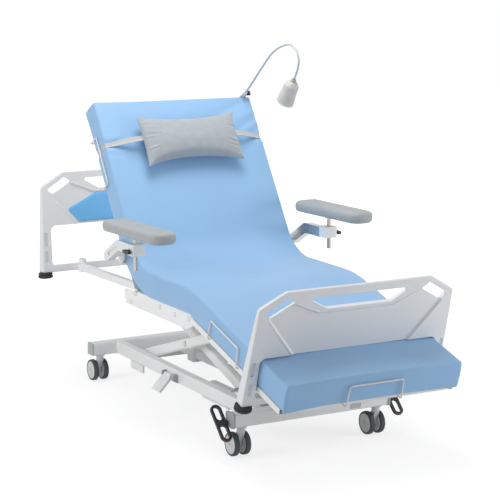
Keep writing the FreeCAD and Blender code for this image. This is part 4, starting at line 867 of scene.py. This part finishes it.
class BED_OT_pillow(bpy.types.Operator):
    """Stuffed pillow with pointed corners, and the strap that ties it to the mattress"""
    bl_idname = "bed.pillow"
    bl_label = "Pillow and strap"

    ACROSS, TALL = 96, 50
    DRAWN_IN = {"upper": 0.15, "lower": 0.22}
    EARS = {(False, False): (0.0, -0.010), (True, True): (0.012, 0.006)}
    EAR_POWER, FULL_POWER, FULL_ACROSS, FULL_TALL = 5, 3.2, 0.55, 0.66
    CREASES, CREASE_HIGH, CREASE_LONG, CREASE_FROM = 4.6, 0.0056, 0.044, 0.022
    CREASE_FAN, CREASE_DRIFT, CREASE_LEAN, CREASE_LEAST = 0.2, 0.5, 0.2, 0.6
    DRIFT_ACROSS, DRIFT_TALL, DRIFT_SEED = 3.0, 4.0, 1.3
    WAIST, WEDGE, OFF_BACK = 0.03, 0.10, 0.048
    CLOTH = {"quality": 8, "mass": 0.15, "tension_stiffness": 30.0, "compression_stiffness": 30.0,
             "shear_stiffness": 12.0, "bending_stiffness": 0.08, "use_pressure": True,
             "uniform_pressure_force": 1.2}
    FRAMES, MOST_SHIFT = 10, 0.007
    STRAP_START = ((0.222, 0.050), (0.245, 0.048), (0.270, 0.042), (0.300, 0.032), (0.330, 0.019),
                   (0.354, 0.007), (0.372, -0.001))
    STRAP_TURN, STRAP_DOWN = 6, (0.15, 0.35, 0.55, 0.75, 0.92)
    STRAP_SUNK, STRAP_LOW, STRAP_BULGE, STRAP_END = 0.004, 0.0035, 0.003, 0.012
    STRAP_COLUMNS, STRAP_CURL = 8, 0.0012
    NARROWER, NARROW_AT, NARROW_LONG = 0.1, 0.20, 0.05

    def execute(self, context):
        size = context.scene.bed_sizes
        self.pillow(context, size)
        self.strap(size)
        return {"FINISHED"}

    def swell(self, a, b, size):
        """Height of a panel: full in the middle, down to the seam, with creases from the short sides."""
        full = (max(1 - abs(a) ** self.FULL_POWER, 0.0) ** self.FULL_ACROSS
                * max(1 - b * b, 0.0) ** self.FULL_TALL)
        beside = (1 - abs(a)) * size.pillow_half
        drift = noise.noise(Vector((a * self.DRIFT_ACROSS, b * self.DRIFT_TALL, self.DRIFT_SEED)))
        turns = (self.CREASES * b * (1.0 + self.CREASE_FAN * (1 - abs(a)))
                 + self.CREASE_DRIFT * drift + self.CREASE_LEAN * a)
        depth = self.CREASE_HIGH * bell(beside - self.CREASE_FROM, self.CREASE_LONG)
        depth *= self.CREASE_LEAST + drift
        return full * (size.pillow_thick / 2 + depth * math.sin(2 * math.pi * turns))

    def pillow(self, context, size):
        """Two panels sewn at their edge, blown up as cloth, then set on the back."""
        low, high = self.flat_box("pillow")
        middle, base = (low.y + high.y) / 2, low.z
        shape = bmesh.new()
        front = self.panel(shape, size, 1)
        self.panel(shape, size, -1, front)
        mesh = mesh_of(shape, "pillow_soft")
        piece = new_piece("pillow_soft", mesh, "pillow_grey")
        self.stuff(context, piece)
        tops = [v.co.z for v in mesh.vertices]
        grow = size.pillow_thick / (max(tops) - min(tops))
        for vert in mesh.vertices:
            x, y, z = vert.co
            share = y / (size.pillow_tall / 2)
            z = z * grow * (1.0 - self.WEDGE * share) + self.OFF_BACK
            vert.co = RAISED @ Vector((x, middle + y, base + max(z, 0.0)))
        smoothed(piece, "Smooth cloth")
        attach(piece, "back")
        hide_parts("pillow")

    def panel(self, shape, size, facing, sewn_to=None):
        """Grid of one panel's points. The second panel shares the first one's rim."""
        sheet = []
        for j in range(self.TALL + 1):
            line = []
            for i in range(self.ACROSS + 1):
                if sewn_to and (i in (0, self.ACROSS) or j in (0, self.TALL)):
                    line.append(sewn_to[j][i])
                    continue
                a, b = 2 * i / self.ACROSS - 1, 2 * j / self.TALL - 1
                wide = size.pillow_half * (1 - self.WAIST * (1 - b * b))
                drawn = self.DRAWN_IN["upper" if b > 0 else "lower"] * (1 - a * a)
                ear = self.EARS.get((a > 0, b > 0), (0.0, 0.0))
                pull = (abs(a) * abs(b)) ** self.EAR_POWER
                line.append(shape.verts.new((a * wide + ear[0] * pull,
                                             b * size.pillow_tall / 2 * (1 - drawn) + ear[1] * pull,
                                             facing * self.swell(a, b, size))))
            sheet.append(line)
        for low, high in zip(sheet, sheet[1:]):
            for i in range(self.ACROSS):
                shape.faces.new((low[i], low[i + 1], high[i + 1], high[i]))
        return sheet

    def flat_box(self, node):
        """Box of a node of the backrest with the backrest laid flat."""
        flat = RAISED.inverted()
        points = [flat @ v.co for v in frame["nodes"][node].data.vertices]
        return [Vector([pick(p[k] for p in points) for k in range(3)]) for pick in (min, max)]

    def stuff(self, context, piece):
        """Blows the closed mesh up as cloth and keeps each point near its start."""
        mesh = piece.data
        start = [v.co.copy() for v in mesh.vertices]
        cloth = piece.modifiers.new("Stuffing", "CLOTH")
        for key, value in self.CLOTH.items():
            setattr(cloth.settings, key, value)
        cloth.settings.effector_weights.gravity = 0.0
        cloth.collision_settings.use_collision = False
        cloth.point_cache.frame_start = 1
        cloth.point_cache.frame_end = self.FRAMES
        for number in range(1, self.FRAMES + 1):
            context.scene.frame_set(number)
        swollen = piece.evaluated_get(context.evaluated_depsgraph_get())
        moved = [v.co.copy() for v in swollen.data.vertices]
        piece.modifiers.remove(cloth)
        context.scene.frame_set(1)
        for vert, before, after in zip(mesh.vertices, start, moved):
            shift = after - before
            if shift.length > self.MOST_SHIFT:
                shift.length = self.MOST_SHIFT
            vert.co = before + shift

    def strap(self, size):
        """Webbing from each side of the pillow, over the shoulder of the mattress and down its side."""
        low, high = self.flat_box("pillow_strap")
        middle = (low.y + high.y) / 2
        side, thick, shoulder = size.mattress_half - self.STRAP_SUNK, size.mattress_thick, size.shoulder
        route = [(x, thick + rise) for x, rise in self.STRAP_START]
        for i in range(self.STRAP_TURN + 1):
            turn = math.pi / 2 * (1 - i / self.STRAP_TURN)
            route.append((side - shoulder + shoulder * math.cos(turn),
                          thick - self.STRAP_LOW - shoulder + shoulder * math.sin(turn)))
        for share in self.STRAP_DOWN:
            route.append((side + self.STRAP_BULGE * math.sin(math.pi * share),
                          (thick - shoulder) * (1 - share) + self.STRAP_END * share))
        shape = bmesh.new()
        for name in ("along", "across"):
            shape.verts.layers.float.new(name)
        layers = [shape.verts.layers.float[name] for name in ("along", "across")]
        for sign in SIDES.values():
            self.band(shape, route, sign, middle, size, layers)
        mesh = mesh_of(shape, "strap_webbing", sharp=50.0)
        piece = new_piece("strap_webbing", mesh, "pillow_grey", "strap")
        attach(piece, "back")
        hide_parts("pillow_strap")

    def band(self, shape, route, sign, middle, size, layers):
        """One half of the strap: a thin closed band along its route."""
        distance, rings, columns = 0.0, [], self.STRAP_COLUMNS
        for index, (x, h) in enumerate(route):
            before, after = route[max(index - 1, 0)], route[min(index + 1, len(route) - 1)]
            run = Vector((after[0] - before[0], after[1] - before[1])).normalized()
            out = Vector((-run.y, run.x))
            if index:
                distance += math.dist(route[index - 1], (x, h))
            narrow = self.NARROWER * bell(distance - self.NARROW_AT, self.NARROW_LONG)
            wide = size.strap_wide / 2 * (1.0 - narrow)
            ring = []
            for face, order in ((1, range(columns + 1)), (-1, range(columns, -1, -1))):
                for k in order:
                    w = -wide + 2 * wide * k / columns
                    lift = face * size.strap_thick / 2 + self.STRAP_CURL * (w / wide) ** 2
                    place = (sign * (x + out.x * lift), middle + w, SEAT_LOW.z + h + out.y * lift)
                    vert = shape.verts.new(RAISED @ Vector(place))
                    vert[layers[0]] = distance
                    vert[layers[1]] = w
                    ring.append(vert)
            rings.append(ring)
        closed_stack(shape, rings)


class BED_OT_armrests(bpy.types.Operator):
    """Skinned foam pads on their carrier plates"""
    bl_idname = "bed.armrests"
    bl_label = "Armrest pads"

    LEVELS = ((0.0005, 0.020), (0.0016, 0.0135), (0.0045, 0.0070), (0.010, 0.0028), (0.017, 0.0008),
              (0.025, 0.0001), (0.032, 0.0), (0.039, 0.0013), (0.0445, 0.0048), (0.0485, 0.0102),
              (0.0512, 0.0172), (0.0528, 0.0265), (0.0537, 0.038), (0.0541, 0.050))
    TOE = math.radians(3.5)
    HALF, FRONT, REAR = 0.062, -0.280, 0.200
    FRONT_ROUND, REAR_ROUND, LEAST_ROUND, INNER_ROUND = 0.054, 0.028, 0.004, 16.0
    CORNER_STEPS, SIDE_STEPS, END_STEPS = 12, 24, 4
    CARRIER = {"left": -0.026, "right": 0.026, "low": -0.110, "high": 0.100, "radius": 0.008, "steps": 6}
    CARRIER_LEVELS = ((0.97, -0.0027), (1.0, -0.0021), (1.0, 0.0005))

    def execute(self, context):
        for side in SIDES:
            self.pad(side)
        return {"FINISHED"}

    def plan(self, inset):
        """Outline of the pad seen from above: full round front, tighter corners at the back."""
        half, front, rear = self.HALF - inset, self.FRONT + inset, self.REAR - inset
        corners = ((half, rear, self.REAR_ROUND), (-half, rear, self.REAR_ROUND),
                   (-half, front, self.FRONT_ROUND), (half, front, self.FRONT_ROUND))
        points = []
        for index, (x, y, radius) in enumerate(corners):
            radius = min(max(radius - inset, self.INNER_ROUND * half * inset, self.LEAST_ROUND), half)
            cx, cy = x - math.copysign(radius, x), y - math.copysign(radius, y)
            for i in range(self.CORNER_STEPS + 1):
                turn = math.radians(90.0 * index + 90.0 * i / self.CORNER_STEPS)
                points.append((cx + radius * math.cos(turn), cy + radius * math.sin(turn)))
        dense = []
        for i, (x, y) in enumerate(points):
            dense.append((x, y))
            nx, ny = points[(i + 1) % len(points)]
            if i % (self.CORNER_STEPS + 1) == self.CORNER_STEPS:
                steps = self.SIDE_STEPS if abs(ny - y) > abs(nx - x) else self.END_STEPS
                dense += [(x + (nx - x) * k / steps, y + (ny - y) * k / steps) for k in range(1, steps)]
        return dense

    def pad(self, side):
        joint = JOINTS["pad_swivel_" + side]["pos_m"]
        place = Matrix.Translation(Vector(joint)) @ Matrix.Rotation(self.TOE, 4, "Z")
        rings = [[place @ Vector((x, y, height)) for x, y in self.plan(inset)]
                 for height, inset in self.LEVELS]
        name = "armrest_pad_" + side
        piece = new_piece(name, stacked(name, rings, sharp=60.0), "pad_grey")
        smoothed(piece, "Smooth skin")
        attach(piece, "pad_" + side)
        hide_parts("arm_pad_" + side)
        outline = rounded_box(**self.CARRIER)
        rings = [[place @ Vector((x * share, y * share, z)) for x, y in outline]
                 for share, z in self.CARRIER_LEVELS]
        name = "armrest_carrier_" + side
        carrier = new_piece(name, stacked(name, rings, sharp=40.0), "pad_grey", "carrier")
        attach(carrier, "pad_" + side)


class BED_OT_castors(bpy.types.Operator):
    """Twin wheels of the castors: round-shouldered tyres and dished hub covers"""
    bl_idname = "bed.castors"
    bl_label = "Castor wheels"

    TYRE = ((0.0410, 0.0012), (0.0440, 0.0004), (0.0462, 0.0004), (0.0480, 0.0014), (0.0492, 0.0034),
            (0.0498, 0.0064), (0.0500, 0.0100), (0.0500, 0.0140), (0.0498, 0.0178), (0.0492, 0.0208),
            (0.0480, 0.0230), (0.0462, 0.0240), (0.0440, 0.0240), (0.0424, 0.0236), (0.0410, 0.0228))
    COVER = ((0.0062, 0.0004), (0.0405, 0.0012), (0.0407, 0.0226), (0.0399, 0.0238), (0.0383, 0.0242),
             (0.0365, 0.0236), (0.0350, 0.0222), (0.0270, 0.0218), (0.0175, 0.0226), (0.0145, 0.0240),
             (0.0128, 0.0258), (0.0108, 0.0262), (0.0098, 0.0254), (0.0062, 0.0250))
    OFFSET, STEPS = 0.013, 56

    def execute(self, context):
        for end in ENDS:
            for side in SIDES:
                self.wheels(end + "_" + side)
        return {"FINISHED"}

    def wheels(self, corner):
        node = "castor_wheels_" + corner
        low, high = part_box(node)
        centre = (low + high) / 2
        places = [((centre.x + sign * self.OFFSET, centre.y, centre.z), (0.0, sign * math.pi / 2, 0.0))
                  for sign in SIDES.values()]
        for name, profile, slot in (("castor_tyres_", self.TYRE, "castor_tyre"),
                                    ("castor_covers_", self.COVER, "castor_grey")):
            piece = repeated(name + corner, self.closed_turn(name + corner, profile), places, slot)
            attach(piece, "wheels_" + corner)
            if slot == "castor_tyre":
                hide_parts(node)

    def closed_turn(self, name, profile):
        """Ring whose profile closes on itself."""
        shape = bmesh.new()
        rings = [[shape.verts.new(place) for place in circle(radius, height, self.STEPS)]
                 for radius, height in profile]
        bridge(shape, rings + rings[:1])
        return mesh_of(shape, name, sharp=35.0)


class BED_OT_boards(bpy.types.Operator):
    """Moulded ridges and slot plugs of the end boards, and the crowned panel in the headboard"""
    bl_idname = "bed.boards"
    bl_label = "End boards"

    LOW_EDGE = {"headboard": 0.240, "footboard": 0.221}
    RIDGE = ((-0.0046, -0.0080), (-0.0046, -0.0003), (-0.0036, 0.0013), (-0.0016, 0.0022), (0.0006, 0.0023),
             (0.0026, 0.0013), (0.0046, -0.0012), (0.0062, -0.0045), (0.0072, -0.0070), (0.0072, -0.0080))
    RIDGE_FOOT, RIDGE_GRIP, RIDGE_HANDLE = 0.268, (0.3935, 0.378), ((0.288, 0.4455), (0.172, 0.396))
    RIDGE_ABOVE, RIDGE_TIP, RIDGE_TAPER = 0.001, 0.004, 0.55
    PANEL = ((0.256, 0.250), (0.313, 0.316), (0.164, 0.386))
    PANEL_ROUND, PANEL_MIDDLE, PANEL_STEPS = 0.014, 0.318, 8
    PANEL_LEVELS = ((1.0, 0.0070), (1.0, 0.0046), (0.994, 0.0036), (0.975, 0.0030), (0.91, 0.0004),
                    (0.895, 0.0001), (0.7, -0.0007), (0.4, -0.0013), (0.15, -0.0015))
    PLUG_X, PLUG_Z = 0.4335, (0.090, 0.177)
    PLUG_RADIUS, PLUG_REACH, PLUG_STEPS, PLUG_NUDGE = 0.0076, 0.020, 32, 0.01
    PLUG_LEVELS = ((0.0, -0.0046), (0.0, -0.0022), (0.0008, -0.0014), (0.0020, -0.0012), (0.0032, -0.0020),
                   (0.0046, -0.0024))

    def execute(self, context):
        for name, place, body in (("headboard", ON_HEAD, "chassis"), ("footboard", ON_FOOT, "leg")):
            self.ridges(name, place, body)
            self.plugs(name, place, body)
        self.insert()
        return {"FINISHED"}

    def ridges(self, name, place, body):
        """Rounded ridges on the recess: panel's foot to corner grip, and from there to the handle."""
        foot = (self.RIDGE_FOOT, self.LOW_EDGE[name] + self.RIDGE_ABOVE)
        shape = bmesh.new()
        for sign in SIDES.values():
            for first, last in ((foot, self.RIDGE_GRIP), self.RIDGE_HANDLE):
                run = (Vector(last) - Vector(first)).normalized()
                across, tip = Vector((-run.y, run.x)), run * self.RIDGE_TIP
                rings = []
                for point, size in ((first, self.RIDGE_TAPER), (Vector(first) + tip, 1.0),
                                    (Vector(last) - tip, 1.0), (last, self.RIDGE_TAPER)):
                    rings.append([place @ Vector((sign * (point[0] + across.x * u * size),
                                                  -v * size if v > 0 else -v,
                                                  point[1] + across.y * u * size)) for u, v in self.RIDGE])
                ring_stack(shape, rings)
        piece = new_piece(name + "_ridges", mesh_of(shape, name + "_ridges", sharp=50.0), "board_plastic")
        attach(piece, body)

    def plugs(self, name, place, body):
        """Oval plugs in the slots of both posts; their darker grey is partly painted shade of the slots."""
        rings = []
        for inset, height in self.PLUG_LEVELS:
            ring, radius = [], self.PLUG_RADIUS - inset
            for i in range(self.PLUG_STEPS):
                turn = 2 * math.pi * i / self.PLUG_STEPS
                reach = math.copysign(self.PLUG_REACH, math.sin(turn + self.PLUG_NUDGE))
                ring.append((radius * math.cos(turn), -height, reach + radius * math.sin(turn)))
            rings.append(ring)
        lean = place.to_euler()
        places = [(tuple(place @ Vector((sign * self.PLUG_X, 0.0, z))), tuple(lean))
                  for sign in SIDES.values() for z in self.PLUG_Z]
        plug = stacked(name + "_plug", rings, sharp=35.0)
        piece = repeated(name + "_plugs", plug, places, "board_plastic", "plug")
        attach(piece, body)

    def insert(self):
        """Coloured six-sided panel with a broad sloped border and a crowned middle."""
        corners = [Vector(corner) for corner in self.PANEL]
        corners += [Vector((-x, z)) for x, z in reversed(self.PANEL)]
        outline = []
        for before, corner, after in zip(corners[-1:] + corners, corners, corners[1:] + corners[:1]):
            back, ahead = (before - corner).normalized(), (after - corner).normalized()
            reach = self.PANEL_ROUND / math.tan(back.angle(ahead) / 2)
            for i in range(self.PANEL_STEPS + 1):
                share = i / self.PANEL_STEPS
                outline.append(corner + back * reach * (1 - share) ** 2 + ahead * reach * share ** 2)
        middle = Vector((0.0, self.PANEL_MIDDLE))
        rings = []
        for scale, depth in self.PANEL_LEVELS:
            spots = [middle + (spot - middle) * scale for spot in outline]
            rings.append([ON_HEAD @ Vector((x, depth, z)) for x, z in spots])
        piece = new_piece("headboard_panel", stacked("headboard_panel", rings, sharp=60.0), "insert_blue")
        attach(piece, "chassis")
        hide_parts("headboard_insert")


class BED_OT_fasteners(bpy.types.Operator):
    """Socket heads of the seat plates' bolts and hinge pins, and the bare plate on the foot beam"""
    bl_idname = "bed.fasteners"
    bl_label = "Bolts and plate"

    PLATE_OUT = 0.380
    BOLTS = ((0.246, 0.478), (-0.043, 0.508), (-0.187, 0.502), (-0.318, 0.506))
    HEAD = ((1.0, 0.0001), (1.0, 0.30), (0.94, 0.58), (0.82, 0.82), (0.66, 0.96), (0.52, 1.0))
    SOCKET, SOCKET_LEVELS, STEPS = 0.42, (0.99, 0.80), 24
    PLATE_MIDDLE = Vector((0.204, 0.0, 0.150))
    PLATE = {"left": -0.027, "right": 0.027, "low": -0.011, "high": 0.011, "radius": 0.003, "steps": 4}
    PLATE_LEVELS = ((1.0, -0.0004), (1.0, 0.0007), (0.985, 0.0011))

    def execute(self, context):
        pins = [(HIP.y, HIP.z), (KNEE.y, KNEE.z)]
        for name, spots, radius, high in (("bolt_heads", self.BOLTS, 0.0098, 0.0042),
                                          ("pin_heads", pins, 0.0108, 0.0068)):
            places = [((sign * self.PLATE_OUT, y, z), (0.0, sign * math.pi / 2, 0.0))
                      for y, z in spots for sign in SIDES.values()]
            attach(repeated(name, self.head(name, radius, high), places, "zinc_steel"), "chassis")
        self.bare_plate()
        return {"FINISHED"}

    def head(self, name, radius, high):
        """Button head with a six-sided socket."""
        rings = [circle(radius * share, high * rise, self.STEPS) for share, rise in self.HEAD]
        for rise in self.SOCKET_LEVELS:
            ring = []
            for i in range(self.STEPS):
                turn = 2 * math.pi * i / self.STEPS
                flat = self.SOCKET * radius / math.cos((turn + math.pi / 6) % (math.pi / 3) - math.pi / 6)
                ring.append((flat * math.cos(turn), flat * math.sin(turn), high * rise))
            rings.append(ring)
        return stacked(name, rings, sharp=38.0)

    def bare_plate(self):
        """Thin plate with rounded corners on the outer face of the foot beam."""
        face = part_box("base_foot_beam")[0].y
        middle, outline = self.PLATE_MIDDLE, rounded_box(**self.PLATE)
        rings = [[(middle.x + x * share, face - out, middle.z + z * share) for x, z in outline]
                 for share, out in self.PLATE_LEVELS]
        mesh = stacked("bare_plate", rings, sharp=40.0)
        piece = new_piece("bare_plate", mesh, "light_grey_steel", "plate")
        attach(piece, "base")


class BED_OT_lamp(bpy.types.Operator):
    """Fine winding round the bendable neck of the lamp"""
    bl_idname = "bed.lamp"
    bl_label = "Lamp neck"

    ROUTE = ((0.0, 0.0, 0.038), (0.0, 0.0, 0.054), (-0.037, 0.001, 0.390), (-0.043, -0.014, 0.486),
             (-0.041, -0.047, 0.574), (-0.039, -0.095, 0.609), (-0.037, -0.146, 0.602),
             (-0.035, -0.175, 0.564), (-0.0341, -0.192, 0.518))
    FOOT = Vector((0.364, 1.0855, 0.648))
    LINE_START, LINE_END = Vector((0.0, 0.0, 0.006)), Vector((-0.034, -0.195, 0.510))
    BEND_SHARE, STUB, SMOOTHNESS = 0.45, 0.001, 24
    TURN_STEPS, WIRE_SIDES, WIRE_PROUD = 10, 6, 0.0004

    def execute(self, context):
        size = context.scene.bed_sizes
        piece = self.wound(self.line(), size)
        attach(piece, "lamp")
        return {"FINISHED"}

    def line(self):
        """Centre line of the neck: straight runs joined by round bends that take up most of them."""
        points = [RAISED @ (self.FOOT + Vector(place)) for place in self.ROUTE]
        knots = [(points[0], points[0], points[0])]
        start, end = (RAISED @ (self.FOOT + place) for place in (self.LINE_START, self.LINE_END))
        full = [start] + points[1:-1] + [end]
        for before, corner, after in zip(full, full[1:], full[2:]):
            run = self.BEND_SHARE * min((before - corner).length, (after - corner).length)
            back, ahead = (before - corner).normalized(), (after - corner).normalized()
            bend = math.pi - back.angle(ahead)
            handle = 4 / 3 * math.tan(bend / 4) * run / max(math.tan(bend / 2), 1e-6)
            first, last = corner + back * run, corner + ahead * run
            knots.append((first + back * self.STUB, first, first - back * handle))
            knots.append((last - ahead * handle, last, last + ahead * self.STUB))
        knots.append((points[-1], points[-1], points[-1]))
        curve = bpy.data.curves.new("neck_line", "CURVE")
        curve.dimensions = "3D"
        spline = curve.splines.new("BEZIER")
        spline.bezier_points.add(len(knots) - 1)
        spline.resolution_u = self.SMOOTHNESS
        for knot, (left, point, right) in zip(spline.bezier_points, knots):
            knot.handle_left_type = knot.handle_right_type = "FREE"
            knot.co, knot.handle_left, knot.handle_right = point, left, right
        return linked("neck_line", curve)

    def wound(self, holder, size):
        """Wire wound round a curve by Geometry Nodes, as a plain mesh."""
        made, entry, keys = new_tree("neck_winding", {"Coil radius": "Float", "Wire radius": "Float",
                                                      "Step": "Float", "Finish": "Material"})
        steps = made.node("GeometryNodeResampleCurve", mode="LENGTH",
                          inputs={"Curve": entry["Geometry"], "Length": entry["Step"]})
        count = made.node("GeometryNodeInputIndex").outputs[0]
        angle = made.node("ShaderNodeMath", operation="MULTIPLY",
                          inputs={0: count, 1: 2 * math.pi / self.TURN_STEPS})
        normal = made.node("GeometryNodeInputNormal").outputs[0]
        tangent = made.node("GeometryNodeInputTangent").outputs[0]
        turn = made.node("ShaderNodeVectorRotate", rotation_type="AXIS_ANGLE",
                         inputs={"Vector": normal, "Axis": tangent, "Angle": angle.outputs[0]})
        offset = made.node("ShaderNodeVectorMath", operation="SCALE",
                           inputs={0: turn.outputs[0], "Scale": entry["Coil radius"]})
        moved = made.node("GeometryNodeSetPosition", {"Geometry": steps.outputs[0],
                                                      "Offset": offset.outputs[0]})
        ring = made.node("GeometryNodeCurvePrimitiveCircle", {"Resolution": self.WIRE_SIDES,
                                                              "Radius": entry["Wire radius"]})
        swept = made.node("GeometryNodeCurveToMesh", {"Curve": moved.outputs[0], "Fill Caps": True,
                                                      "Profile Curve": ring.outputs["Curve"]})
        close_tree(made, swept.outputs[0], entry["Finish"])
        wire = size.neck_pitch / 2
        result = evaluated(holder, made, keys, {
            "Coil radius": size.neck_radius + self.WIRE_PROUD - wire, "Wire radius": wire,
            "Step": size.neck_pitch / self.TURN_STEPS, "Finish": FINISHES["lamp_neck"]})
        return new_piece("neck_winding", result, "lamp_neck")


PIECES = (BED_OT_stage, BED_OT_steelwork, BED_OT_boards, BED_OT_fasteners, BED_OT_mattress, BED_OT_pillow,
          BED_OT_armrests, BED_OT_castors, BED_OT_lamp)


class BED_PT_panel(bpy.types.Panel):
    """Pieces, sizes and colours of the bed"""
    bl_idname = "BED_PT_panel"
    bl_label = "Dialysis bed"
    bl_space_type = "VIEW_3D"
    bl_region_type = "UI"
    bl_category = "Bed"

    def draw(self, context):
        for piece in PIECES:
            self.layout.operator(piece.bl_idname)
        scene = context.scene
        for group, notes in ((scene.bed_sizes, SIZE_NOTES), (scene.bed_colours, COLOUR_NOTES)):
            for name in notes:
                self.layout.prop(group, name)


CLASSES = (BedSizes, BedColours) + PIECES + (BED_PT_panel,)


def register():
    for made in CLASSES:
        bpy.utils.register_class(made)
    bpy.types.Scene.bed_sizes = PointerProperty(type=BedSizes)
    bpy.types.Scene.bed_colours = PointerProperty(type=BedColours)


def unregister():
    del bpy.types.Scene.bed_colours
    del bpy.types.Scene.bed_sizes
    for made in reversed(CLASSES):
        bpy.utils.unregister_class(made)


def main():
    register()
    for piece in PIECES:
        group, name = piece.bl_idname.split(".")
        getattr(getattr(bpy.ops, group), name)()


if __name__ == "__main__":
    main()
